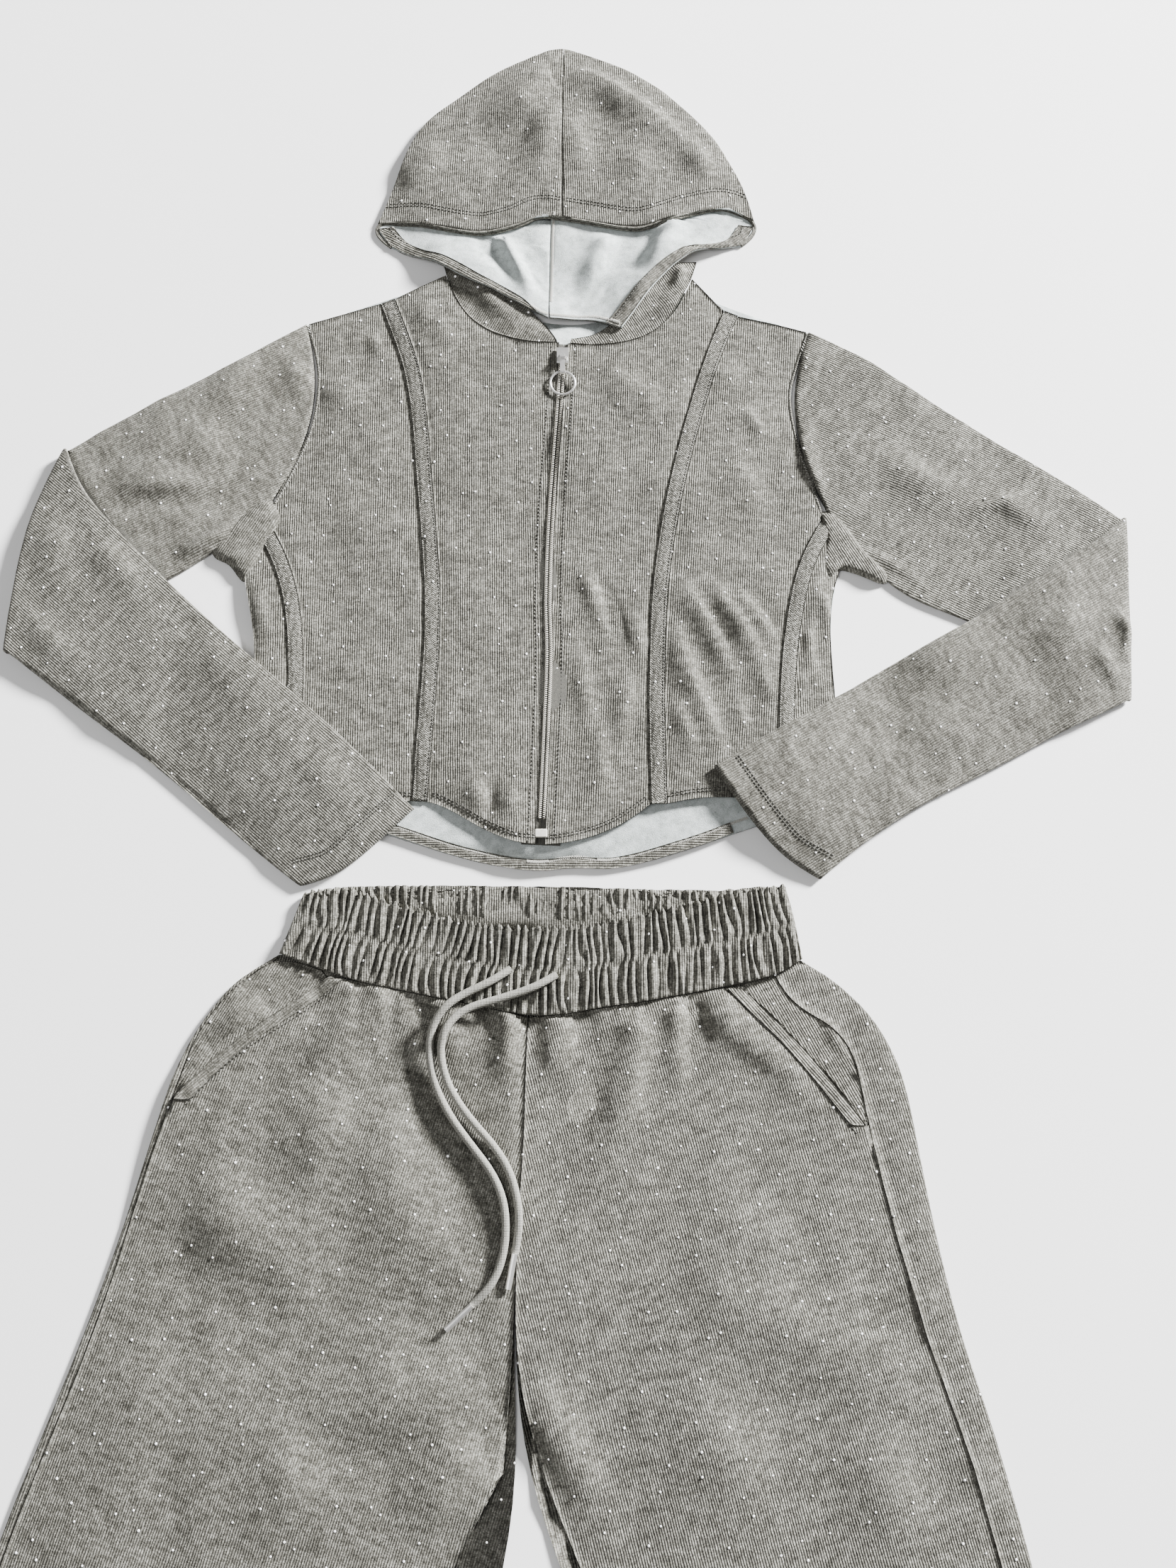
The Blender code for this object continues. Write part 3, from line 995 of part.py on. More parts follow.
def leg_back(side, face):
    """Back of one leg: it lies on the surface and wraps a little way round to the front."""
    left = side == "left"
    sign = 1 if left else -1
    if left:
        out_line = two_part((OUT_TOP_LEFT,), (OUT_LEFT,))
        seam_line = two_part((TOP_SEAM_LEFT,), (SEAM_LEFT,))
        in_line = two_part((BACK_TOP,), (CENTRE_SEAM, BACK_INNER_LEFT))
    else:
        out_line = two_part((OUT_TOP_RIGHT,), (OUT_RIGHT,))
        seam_line = two_part((TOP_SEAM_RIGHT,), (SEAM_RIGHT,))
        in_line = two_part((BACK_TOP,), (CENTRE_SEAM, BACK_INNER_RIGHT))
    in_line = shifted(in_line, -sign * SEAM)
    radius = WALL + SEAM / 2
    outer, inner = [], []
    low_seam = shifted(chain(BAND_LOW_BACK), -2 * SEAM)
    for r in range(LEG_ROWS):
        tip, seam, mid = out_line[r], seam_line[r], in_line[r]
        inward = (mid - tip) / np.linalg.norm(mid - tip)
        top = (seam, tip + inward * radius)
        top_out = [np.append(p, LAYER + WALL) for p in top]
        top_in = [np.append(p, LAYER) for p in top]
        fold_out, fold_in = fold_row(tip, inward, radius, SEAM)
        span = np.linalg.norm(mid - tip)
        base = [tip + inward * d for d in np.linspace(radius, span, LEG_BACK_COLS)]
        if r == 0:
            base = [np.array((p[0], np.interp(p[0], low_seam[:, 0], low_seam[:, 1]))) for p in base]
        outer.append(top_out + fold_out + [np.append(p, 0.0) for p in base])
        inner.append(top_in + fold_in + [np.append(p, WALL) for p in base])
    grid_solid("back_leg_" + side, np.array(outer), np.array(inner), face)


def pocket_facing(side, face):
    """The piece behind the slanted pocket edge, between the waistband and the side seam."""
    left = side == "left"
    sign = 1 if left else -1
    pocket = resample(chain(POCKET_LEFT if left else POCKET_RIGHT), POCKET_ROWS + 1)
    under = shifted(pocket, sign * FACING_REACH)
    seam = resample(chain(TOP_SEAM_LEFT if left else TOP_SEAM_RIGHT), POCKET_ROWS + 1)
    seam = shifted(seam, sign * 2 * SEAM)
    low_seam = shifted(chain(BAND_LOW_FRONT), -3 * SEAM)
    x_out, x_in = seam[0][0], under[0][0]
    picks = [p for p in low_seam if min(x_out, x_in) < p[0] < max(x_out, x_in)]
    top = np.array([seam[0]] + (picks if left else picks[::-1]) + [under[0]])
    plan = coons(top, np.array((seam[-1], under[-1])), seam, under, POCKET_ROWS + 1, FACING_COLS)
    panel("pocket_facing_" + side, plan, lambda p: flat(p) + LAYER, flat, face)


# Drawcord ends: hand-chosen places of the cord's middle, in centimetres on the plan
CORD_A = ((-5.4, -13.6), (-6.4, -14.3), (-7.8, -15.0), (-9.2, -15.7), (-10.3, -16.7), (-10.9, -18.2),
          (-10.9, -19.8), (-10.5, -21.5), (-9.5, -23.5), (-8.0, -25.5), (-6.5, -27.4), (-5.7, -29.2),
          (-5.5, -31.1), (-5.7, -32.8), (-6.2, -34.2), (-6.9, -35.2), (-7.7, -35.9))
CORD_B = ((-2.2, -14.0), (-3.5, -14.8), (-4.9, -15.3), (-6.5, -15.8), (-8.0, -16.2), (-9.3, -17.0),
          (-10.1, -18.3), (-10.1, -19.8), (-9.7, -21.3), (-8.9, -22.7), (-7.8, -24.1), (-6.5, -25.5),
          (-5.4, -27.1), (-4.8, -28.9), (-4.6, -30.7), (-4.9, -32.6))


CORD_STEP = 0.0115                # between the points of a cord's line
AGLET_SIDES = 12
CORD_GROUND = ((-16.0, -40.0), (2.0, -10.0))    # corners of the plan patch that the cords lie on


def build_cord(name, table, ground, cloth, metal):
    """A round cord end that lies on the waistband and the legs, with a metal aglet."""
    line = chain(table)
    line = resample(line, int(length_of(line) / CORD_STEP))
    heights = ground.at(line) + CORD_RADIUS + SEAM
    data = bpy.data.curves.new(name, "CURVE")
    data.dimensions = "3D"
    spline = data.splines.new("POLY")
    spline.points.add(len(line) - 1)
    for point, (x, y), z in zip(spline.points, line, heights):
        point.co = (x, y, z, 1.0)
    data.bevel_depth = CORD_RADIUS
    data.bevel_resolution = 2
    data.use_fill_caps = True
    data.materials.append(cloth)
    cord = bpy.data.objects.new(name, data)
    bpy.context.scene.collection.objects.link(cord)

    last, before = (Vector((*line[i], heights[i])) for i in (-1, -2))
    along = (last - before).normalized()
    start = last + along * SEAM
    mesh = bmesh.new()
    bmesh.ops.create_cone(mesh, cap_ends=True, segments=AGLET_SIDES, radius1=AGLET_RADIUS,
                          radius2=AGLET_RADIUS, depth=AGLET_LENGTH)
    turn = along.to_track_quat("Z", "Y").to_matrix()
    bmesh.ops.rotate(mesh, cent=(0, 0, 0), matrix=turn, verts=mesh.verts)
    bmesh.ops.translate(mesh, vec=start + along * AGLET_LENGTH / 2, verts=mesh.verts)
    finish_mesh(name.replace("drawcord", "aglet"), mesh, metal)


def main():
    remove_everything()
    face = material("heather_knit", (0.30, 0.28, 0.25), 0.85)
    cord_cloth = material("cord_braid", (0.50, 0.49, 0.47), 0.8)
    tape = material("zip_tape", (0.33, 0.31, 0.28), 0.8)
    coil = material("zip_coil", (0.52, 0.49, 0.44), 0.45)
    metal = material("nickel", (0.70, 0.69, 0.67), 0.25, 1.0)
    zip_line = build_jacket_body(face)
    build_zip(zip_line, tape, coil, metal)
    build_hood(face)
    for side, table in SLEEVES.items():
        build_sleeve(side, table, face)
    build_waistband(face)
    for side in ("left", "right"):
        leg_back(side, face)
        pocket_facing(side, face)
        leg_front(side, face)
    low, high = (np.array(corner) * CM + np.array(PLAN_SHIFT) for corner in CORD_GROUND)
    ground = Ground(("waistband", "front_leg_left", "front_leg_right"), low, high)
    build_cord("drawcord_a", CORD_A, ground, cord_cloth, metal)
    build_cord("drawcord_b", CORD_B, ground, cord_cloth, metal)


main()
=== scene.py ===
"""The looks of a zip hoodie and wide trousers that lie flat with the front up.

Metres, +Z up. Tables of places are in centimetres on the plan that the camera looks at the
middle of: x to the right, y towards the hood. Heights of folds are in millimetres.
"""

import math
import random

import bmesh
import bpy
import numpy as np
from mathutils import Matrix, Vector
from mathutils.bvhtree import BVHTree
from mathutils.kdtree import KDTree


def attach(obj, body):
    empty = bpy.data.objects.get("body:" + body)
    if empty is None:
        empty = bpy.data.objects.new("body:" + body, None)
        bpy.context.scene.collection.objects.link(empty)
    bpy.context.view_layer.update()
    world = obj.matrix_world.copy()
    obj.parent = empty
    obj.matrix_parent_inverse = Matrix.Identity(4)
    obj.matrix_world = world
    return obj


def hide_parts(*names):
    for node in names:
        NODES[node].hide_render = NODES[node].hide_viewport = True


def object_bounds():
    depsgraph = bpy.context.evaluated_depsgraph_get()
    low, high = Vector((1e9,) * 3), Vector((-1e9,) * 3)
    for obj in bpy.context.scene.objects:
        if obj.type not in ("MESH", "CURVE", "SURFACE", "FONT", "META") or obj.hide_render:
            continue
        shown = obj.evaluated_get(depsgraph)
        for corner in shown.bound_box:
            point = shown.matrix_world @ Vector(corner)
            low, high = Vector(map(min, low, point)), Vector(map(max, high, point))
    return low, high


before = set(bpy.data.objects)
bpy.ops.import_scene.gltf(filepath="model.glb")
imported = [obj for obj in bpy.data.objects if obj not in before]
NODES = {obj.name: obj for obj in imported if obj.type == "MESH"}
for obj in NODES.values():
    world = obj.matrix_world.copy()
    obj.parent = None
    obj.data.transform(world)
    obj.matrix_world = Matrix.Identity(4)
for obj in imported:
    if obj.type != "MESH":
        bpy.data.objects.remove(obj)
CAD_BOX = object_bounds()
BODY = "garment"

CM = 0.01
MM = 0.001
DOWN = Vector((0.0, 0.0, -1.0))
VIEW_CENTRE = (0.0525, 0.2340, 0.0)
TILT = math.radians(14)
CAMERA_DISTANCE = 1.10
FRAME_HEIGHT = 2212
FOCAL_PIXELS = 2134
SENSOR = 36.0

RIB_PITCH = 0.0017
STONE_SPACING = 0.0262
STONE_RADIUS = 0.00084
THREAD = 0.00040
CORD_RADIUS = 0.00275
CORD_STEP = 0.0115
GATHERS = 58                      # across the front of the waistband
GATHER_DEPTH = 0.0016
BAND_STAND = 0.0035               # how far the waistband's front edge stands up
FLOOR_DROP = 0.0002


# Outlines in centimetres, each from the top down or from the left
ZIP_LINE = ((-1.9, 35.3), (-2.3, 28.7), (-2.8, 21.0), (-3.0, 14.4), (-2.9, 9.5), (-3.1, 3.0), (-3.4, -4.6))
PRINCESS_LEFT = ((-15.2, 39.3), (-14.0, 36.0), (-13.0, 33.0), (-12.3, 28.5), (-11.9, 24.0),
                 (-11.4, 19.4), (-11.0, 14.4), (-11.0, 9.8), (-11.3, 4.0), (-11.6, -1.4))
PRINCESS_RIGHT = ((10.7, 38.2), (9.1, 34.0), (7.6, 29.0), (6.3, 23.8), (5.4, 19.1),
                  (4.8, 14.4), (4.6, 9.5), (4.5, 5.3), (4.6, -1.6))
SIDE_LEFT = ((-24.2, 20.4), (-22.6, 17.6), (-21.6, 14.4), (-21.1, 11.0), (-20.9, 6.0), (-21.0, -1.2))
SIDE_RIGHT = ((17.6, 20.3), (15.8, 17.0), (15.0, 13.5), (14.4, 9.9), (14.0, 5.0), (13.9, -1.3))
ARMHOLE_LEFT = ((-22.0, 37.0), (-21.2, 34.4), (-20.9, 31.7), (-21.3, 28.1), (-22.7, 24.2), (-24.3, 20.9))
ARMHOLE_RIGHT = ((17.2, 36.3), (16.2, 33.4), (15.6, 30.8), (16.0, 27.2), (16.9, 23.9), (17.7, 20.9))
NECK_LEFT = ((-11.2, 41.2), (-10.2, 38.8), (-8.7, 36.9), (-6.5, 35.8), (-3.8, 35.3), (-2.6, 35.3))
NECK_RIGHT = ((-1.2, 35.3), (2.3, 35.3), (4.3, 35.8), (5.9, 36.8), (7.1, 38.4), (8.2, 40.9))
HEM_LEFT = ((-11.6, -1.4), (-11.0, -1.5), (-9.3, -2.4), (-7.6, -3.4), (-5.4, -4.4), (-3.8, -4.6))
HEM_RIGHT = ((-3.0, -4.6), (-1.8, -4.5), (0.2, -4.0), (2.4, -3.1), (4.6, -1.6))
SIDE_HEM_LEFT = ((-21.0, -1.2), (-17.0, -1.2), (-12.8, -1.4))
SIDE_HEM_RIGHT = ((5.8, -1.5), (9.0, -1.1), (13.9, -1.3))
HEM_BACK = ((-24.6, -1.2), (-18.5, -2.6), (-13.8, -4.0), (-9.3, -5.5), (-4.0, -6.6), (-1.0, -6.2),
            (2.0, -6.4), (8.0, -4.7), (11.7, -3.3), (18.4, -1.2))
MOUTH_LEFT = ((-16.8, 46.1), (-13.7, 46.0), (-10.1, 45.2), (-7.9, 45.2), (-5.6, 45.8), (-3.8, 46.6), (-2.1, 46.4))
MOUTH_RIGHT = ((-2.0, 46.4), (0.0, 46.1), (2.5, 45.6), (4.7, 45.6), (8.5, 46.9), (11.1, 47.4), (13.3, 46.3))
RIM_LEFT = ((-16.8, 45.6), (-16.2, 44.5), (-14.8, 43.4), (-12.6, 42.6), (-9.9, 40.9), (-7.2, 39.6), (-4.7, 38.1))
RIM_RIGHT = ((13.3, 45.8), (12.9, 44.6), (11.6, 43.9), (8.8, 43.4), (6.8, 42.0), (5.2, 40.2), (3.8, 38.2),
             (2.6, 36.5))
HOOD_INSIDE_SEAM = ((-2.9, 46.8), (-3.0, 45.0), (-3.05, 41.0), (-3.1, 37.4))
HOOD_BACK_EDGE = ((-4.6, 38.1), (-3.1, 37.4), (0.4, 37.4), (2.4, 36.7))
CUFF_LEFT = ((-12.5, -2.0), (-15.2, -4.5), (-17.8, -6.7), (-20.6, -7.6))
CUFF_RIGHT = ((9.1, 1.1), (10.4, -0.9), (12.0, -3.2), (14.1, -5.6), (16.6, -7.1))
FOREARM_LEFT = ((-40.2, 26.3), (-38.3, 22.6), (-35.7, 19.8), (-32.3, 16.3), (-28.6, 12.8),
                (-24.9, 9.5), (-21.1, 6.3), (-17.8, 3.3), (-14.9, 0.5), (-12.5, -2.0))
FOREARM_RIGHT = ((40.8, 20.6), (38.3, 18.7), (35.1, 16.7), (29.1, 12.8), (23.1, 9.4), (17.3, 5.9),
                 (12.1, 3.0), (9.1, 1.1))
BAND_TOP_BACK = ((-20.2, -8.1), (-17.6, -7.7), (-15.0, -7.6), (-9.8, -7.6), (-2.1, -7.7), (5.6, -7.9),
                 (10.8, -7.9), (14.1, -7.6))
BAND_TOP_FRONT = ((-20.2, -8.1), (-17.4, -8.0), (-14.8, -8.6), (-11.7, -9.5), (-8.1, -10.4), (-4.6, -10.7),
                  (-2.1, -10.7), (1.0, -10.4), (5.1, -9.5), (9.4, -8.5), (14.1, -7.6))
BAND_LOW_FRONT = ((-21.8, -12.4), (-18.5, -13.6), (-15.6, -14.5), (-12.1, -15.2), (-7.1, -16.2),
                  (-4.5, -16.7), (-2.0, -16.7), (1.0, -16.2), (5.0, -15.6), (9.8, -14.7), (13.1, -13.9),
                  (15.1, -12.8))
POCKET_LEFT = ((-18.3, -14.0), (-20.4, -15.6), (-22.7, -17.1), (-24.7, -18.5), (-26.6, -20.2), (-28.6, -22.4))
POCKET_RIGHT = ((11.0, -14.7), (12.5, -16.3), (14.1, -17.8), (15.9, -19.8), (17.4, -21.7), (19.3, -24.2))
CORD_A = ((-5.4, -13.6), (-6.4, -14.3), (-7.8, -15.0), (-9.2, -15.7), (-10.3, -16.7), (-10.9, -18.2),
          (-10.9, -19.8), (-10.5, -21.5), (-9.5, -23.5), (-8.0, -25.5), (-6.5, -27.4), (-5.7, -29.2),
          (-5.5, -31.1), (-5.7, -32.8), (-6.2, -34.2), (-6.9, -35.2), (-7.7, -35.9))
CORD_B = ((-2.2, -14.0), (-3.5, -14.8), (-4.9, -15.3), (-6.5, -15.8), (-8.0, -16.2), (-9.3, -17.0),
          (-10.1, -18.3), (-10.1, -19.8), (-9.7, -21.3), (-8.9, -22.7), (-7.8, -24.1), (-6.5, -25.5),
          (-5.4, -27.1), (-4.8, -28.9), (-4.6, -30.7), (-4.9, -32.6))

# Folds: line in centimetres, half widths to its left and right in centimetres, height in
# millimetres, and the share of the line over which the fold rises
JACKET = (
    (((0.1, 16.6), (1.3, 14.7), (2.1, 12.7), (3.1, 8.8)), 0.5, 0.9, -1.5, 0.3),
    (((-0.5, 17.3), (0.5, 13.8), (1.5, 10.9)), 0.9, 0.7, 1.4, 0.4),
    (((3.2, 9.2), (2.6, 5.3), (1.9, 0.9)), 0.7, 1.1, 1.6, 0.4),
    (((-1.1, 10.9), (-0.2, 5.9), (-0.4, 0.4)), 0.8, 0.8, 1.3, 0.4),
    (((0.7, 5.9), (0.9, 1.5), (0.9, -2.3)), 0.6, 0.7, 1.2, 0.5),
    (((3.4, 13.2), (4.2, 8.1)), 0.5, 0.7, 0.9, 0.4),
    (((0.7, 33.6), (3.5, 31.1), (6.5, 30.2)), 1.0, 1.4, 1.5, 0.4),
    (((6.7, 16.1), (8.9, 12.1), (11.4, 6.4)), 0.5, 1.0, 2.0, 0.35),
    (((8.5, 16.1), (10.9, 12.7), (13.7, 7.8)), 0.5, 1.0, 1.9, 0.35),
    (((5.9, 13.2), (7.6, 8.1), (9.5, 2.8), (10.4, 0.3)), 0.6, 1.1, 2.0, 0.35),
    (((10.4, 15.2), (12.9, 12.2), (14.3, 9.6)), 0.5, 0.9, 1.6, 0.35),
    (((6.2, 7.0), (7.2, 3.7), (7.8, 0.9)), 0.5, 0.8, 1.4, 0.4),
    (((10.7, 6.7), (11.6, 3.0)), 0.5, 0.7, 1.2, 0.4),
    (((12.7, 9.0), (13.4, 5.9)), 0.4, 0.7, 1.2, 0.4),
    (((12.0, 30.0), (13.7, 26.8)), 0.4, 0.7, 1.2, 0.4),
    (((8.9, 31.2), (10.6, 32.7), (12.1, 34.0)), 0.9, 0.9, 1.4, 0.5),
    (((10.0, 26.2), (11.8, 23.8), (12.7, 20.8)), 1.2, 1.8, 1.2, 0.5),
    (((16.5, 15.2), (17.8, 13.6), (18.0, 8.1)), 0.35, 0.5, 1.2, 0.3),
    (((16.4, 12.7), (16.6, 7.6)), 0.4, 0.5, 1.2, 0.4),
    (((-12.3, 39.1), (-13.4, 36.3)), 0.6, 0.8, 1.5, 0.4),
    (((-11.2, 37.5), (-11.4, 34.5)), 0.6, 0.8, 0.9, 0.4),
    (((-20.5, 36.3), (-18.4, 34.7)), 0.5, 0.7, 1.1, 0.4),
    (((-16.9, 36.5), (-16.3, 33.8)), 0.5, 0.7, 1.1, 0.4),
    (((-18.9, 33.0), (-19.5, 29.0)), 1.2, 1.6, 1.2, 0.5),
    (((-6.5, 1.2), (-7.0, -0.9), (-7.1, -3.3)), 0.5, 0.7, -1.8, 0.7),
    (((-8.4, 1.2), (-7.8, -1.4), (-7.5, -2.9)), 0.6, 0.8, 1.5, 0.6),
    (((-5.5, 0.4), (-5.6, -3.1)), 0.5, 0.7, 1.3, 0.6),
    (((-15.7, 0.8), (-14.8, -0.9)), 0.7, 0.8, 1.0, 0.6),
    (((-24.4, 16.1), (-24.4, 13.3), (-23.8, 10.6)), 0.6, 0.9, 1.3, 0.5),
    (((-16.5, 25.6), (-18.1, 19.8), (-17.5, 15.2)), 2.4, 2.4, 1.0, 0.5),
    (((-8.1, 28.0), (-8.4, 20.8), (-7.5, 15.2)), 2.4, 2.4, 1.0, 0.5),
)
LEGS = (
    (((-14.3, -14.5), (-14.9, -15.8), (-17.2, -17.9), (-19.9, -20.5)), 1.3, 1.0, 3.0, 0.12),
    (((-9.7, -15.6), (-9.7, -17.2), (-10.4, -20.0)), 1.1, 1.1, 3.4, 0.1),
    (((-5.9, -16.3), (-5.7, -18.4), (-6.0, -22.0)), 0.8, 0.9, 2.6, 0.1),
    (((-11.8, -15.8), (-11.0, -18.3), (-11.3, -21.0)), 0.5, 0.6, -1.6, 0.1),
    (((-7.5, -16.2), (-6.7, -18.0)), 0.4, 0.5, -1.6, 0.1),
    (((-2.1, -16.8), (-2.2, -18.4), (-2.7, -22.0)), 0.9, 0.9, 2.2, 0.1),
    (((3.3, -16.3), (3.4, -18.4), (2.4, -22.5), (-0.3, -29.0)), 1.1, 1.5, 3.4, 0.12),
    (((5.9, -16.1), (6.0, -18.9), (6.2, -23.0)), 0.9, 1.0, 2.2, 0.1),
    (((7.6, -15.9), (7.9, -18.3), (7.5, -20.0)), 0.4, 0.6, -1.8, 0.1),
    (((9.3, -15.6), (10.4, -17.9), (13.7, -20.5), (16.4, -25.0)), 1.4, 1.2, 2.2, 0.12),
    (((-22.2, -15.6), (-24.8, -17.2), (-26.8, -18.9)), 0.6, 0.8, 2.0, 0.3),
    (((-19.1, -15.0), (-21.7, -16.6), (-24.7, -18.9)), 0.5, 0.6, 1.4, 0.3),
    (((15.2, -15.3), (17.0, -17.9), (18.4, -21.0)), 0.5, 0.7, 1.6, 0.3),
    (((-28.3, -26.0), (-26.2, -28.5), (-22.4, -31.9), (-18.1, -38.1)), 2.4, 3.2, 3.4, 0.4),
    (((-11.6, -21.5), (-13.5, -26.0), (-11.3, -31.4), (-7.2, -38.1)), 2.2, 2.8, 3.2, 0.4),
    (((-16.3, -21.5), (-18.2, -25.5), (-21.6, -29.0)), 1.6, 2.2, 2.4, 0.4),
    (((-26.6, -38.1), (-28.8, -41.3), (-31.9, -46.4), (-33.5, -50.8)), 2.6, 3.0, 3.0, 0.4),
    (((-6.2, -40.0), (-11.1, -41.8), (-17.9, -43.6)), 1.8, 2.6, 2.6, 0.4),
    (((-7.1, -43.6), (-9.5, -47.3), (-11.8, -51.7)), 1.6, 2.0, 3.0, 0.3),
    (((-17.9, -43.6), (-20.6, -48.2), (-22.3, -51.9)), 2.6, 3.0, 2.6, 0.4),
    (((3.8, -31.4), (9.8, -35.7), (19.1, -40.0), (23.7, -45.9)), 2.4, 3.0, 3.4, 0.4),
    (((-4.3, -40.0), (-2.2, -43.6), (2.2, -50.8)), 1.4, 1.8, 3.2, 0.3),
    (((5.9, -29.0), (10.9, -31.4), (16.9, -32.4)), 2.0, 2.4, 2.2, 0.4),
    (((4.7, -40.0), (8.6, -44.6), (12.3, -50.8)), 2.6, 3.0, 2.8, 0.4),
    (((16.5, -42.7), (19.2, -47.7), (21.4, -51.9)), 2.2, 2.6, 2.4, 0.4),
    (((20.3, -34.3), (22.3, -35.7), (23.2, -38.1)), 0.7, 0.9, 1.5, 0.5),
    (((21.2, -38.1), (23.0, -40.0), (24.4, -41.3)), 0.7, 0.9, 1.5, 0.5),
    (((20.3, -25.0), (21.4, -27.5), (21.8, -30.4)), 0.7, 0.9, 1.5, 0.5),
    (((23.2, -43.6), (25.1, -45.9), (26.4, -49.1)), 0.8, 1.0, 1.5, 0.5),
    (((-3.8, -46.4), (-2.6, -48.2), (-1.8, -50.4)), 0.5, 0.6, 1.6, 0.3),
    (((-5.7, -46.4), (-7.0, -48.2), (-8.9, -50.8)), 0.5, 0.7, 1.6, 0.3),
)
HOOD = (
    (((-2.4, 60.2), (-3.7, 60.2), (-5.6, 57.0), (-9.7, 53.5)), 1.4, 2.0, 3.0, 0.3),
    (((-4.4, 56.6), (-6.3, 53.0), (-9.6, 48.6)), 1.3, 2.0, -1.3, 0.4),
    (((-3.1, 57.5), (-3.6, 51.7), (-4.1, 48.2)), 1.0, 1.4, 2.6, 0.4),
    (((-2.1, 60.2), (1.0, 58.8), (5.4, 55.4), (10.4, 50.1)), 0.7, 1.6, 2.6, 0.2),
    (((-1.7, 57.9), (1.8, 54.8), (4.0, 50.8)), 1.2, 1.6, -0.8, 0.4),
    (((-1.7, 56.6), (-0.9, 52.6), (0.2, 48.2)), 1.0, 1.6, 2.0, 0.4),
    (((7.9, 53.9), (9.4, 50.8), (10.1, 49.1)), 0.9, 1.2, 1.8, 0.5),
    (((-11.7, 54.8), (-13.8, 50.4), (-14.5, 48.2)), 1.2, 1.8, 2.2, 0.5),
    (((2.5, 52.6), (5.5, 49.5)), 1.2, 1.4, 1.6, 0.5),
    (((-8.6, 45.2), (-6.9, 42.7), (-4.5, 38.9)), 0.7, 0.9, -2.0, 0.3),
    (((-7.1, 45.2), (-5.6, 42.2), (-3.9, 38.5)), 0.6, 0.8, 3.6, 0.2),
    (((-5.4, 45.4), (-4.4, 42.7), (-3.6, 38.5)), 0.5, 0.6, -1.6, 0.3),
    (((1.7, 45.2), (0.6, 42.2), (-0.9, 39.3)), 0.7, 1.0, 3.2, 0.2),
    (((5.2, 45.9), (4.3, 43.5), (3.2, 41.0)), 0.7, 0.9, -2.0, 0.3),
    (((7.4, 46.4), (5.8, 43.9), (3.9, 41.4)), 0.8, 0.9, 3.6, 0.2),
    (((-11.0, 41.8), (-9.4, 38.9), (-7.2, 36.8)), 0.6, 0.9, -0.8, 0.4),
    (((-9.1, 41.0), (-7.2, 38.5), (-4.5, 36.3)), 0.7, 0.8, 1.4, 0.4),
    (((6.9, 42.2), (7.3, 41.4), (6.6, 40.1)), 0.4, 0.5, 2.0, 0.4),
    (((8.0, 41.0), (7.3, 39.1), (4.7, 37.2)), 0.7, 0.9, 2.2, 0.4),
    (((5.4, 41.4), (3.9, 39.3), (2.4, 37.6)), 0.5, 0.7, 1.6, 0.4),
)
SLEEVES = (
    (((-37.5, 21.6), (-33.2, 21.9), (-26.1, 22.6)), 0.5, 0.9, -0.9, 0.4),
    (((-36.8, 23.2), (-32.4, 23.3), (-27.1, 23.7)), 0.9, 0.7, 1.6, 0.4),
    (((-31.9, 29.5), (-29.5, 27.0), (-26.2, 24.1)), 1.4, 1.8, 2.0, 0.5),
    (((-23.2, 35.5), (-22.4, 32.5), (-22.5, 29.0)), 0.8, 1.2, 1.8, 0.5),
    (((-26.4, 35.0), (-27.5, 31.5), (-30.5, 28.5)), 1.2, 1.6, 1.6, 0.5),
    (((-31.1, 17.5), (-28.6, 18.9), (-25.8, 20.5)), 0.5, 0.6, 1.8, 0.3),
    (((-42.1, 22.7), (-40.1, 17.5), (-40.1, 12.9)), 1.3, 1.8, 2.2, 0.5),
    (((-37.8, 19.4), (-34.7, 16.1), (-32.6, 13.3)), 1.0, 1.4, 2.0, 0.4),
    (((-42.6, 14.2), (-39.7, 10.6), (-36.0, 7.4)), 0.9, 1.3, 1.8, 0.4),
    (((-30.7, 11.5), (-26.2, 7.9), (-22.6, 4.3)), 1.6, 2.0, 1.8, 0.5),
    (((-20.8, 3.4), (-19.0, 0.4), (-17.2, -3.1)), 1.4, 1.8, 1.6, 0.5),
    (((-43.3, 9.7), (-37.6, 5.7), (-29.9, -0.1), (-20.9, -7.8)), 0.35, 0.35, -1.2, 0.1),
    (((19.3, 18.6), (23.0, 16.9), (27.7, 13.1)), 0.5, 0.8, 1.8, 0.4),
    (((18.9, 20.2), (22.1, 19.9), (25.8, 18.5)), 0.6, 0.9, -1.4, 0.4),
    (((16.6, 29.9), (16.7, 25.0), (18.5, 20.2)), 0.8, 1.2, 1.8, 0.5),
    (((20.7, 26.8), (25.6, 23.8), (30.4, 21.3)), 1.2, 1.6, 1.8, 0.5),
    (((28.1, 20.5), (31.0, 21.9), (34.2, 22.5)), 0.4, 0.6, 1.6, 0.4),
    (((30.5, 22.9), (33.1, 20.8), (35.8, 20.2)), 0.6, 0.8, 1.4, 0.4),
    (((39.0, 13.2), (40.0, 11.4), (39.2, 9.2)), 0.35, 0.5, 2.0, 0.3),
    (((37.3, 10.9), (38.6, 8.1), (39.9, 7.0)), 0.5, 0.7, 1.8, 0.4),
    (((36.5, 15.0), (35.2, 11.5), (31.7, 8.1)), 1.2, 1.6, 2.2, 0.5),
    (((29.8, 12.7), (25.3, 9.2), (20.3, 5.9)), 1.4, 1.8, 1.8, 0.5),
    (((30.5, 5.9), (25.0, 3.1), (20.0, -1.2)), 1.4, 1.8, 1.8, 0.5),
)

# Plan helpers

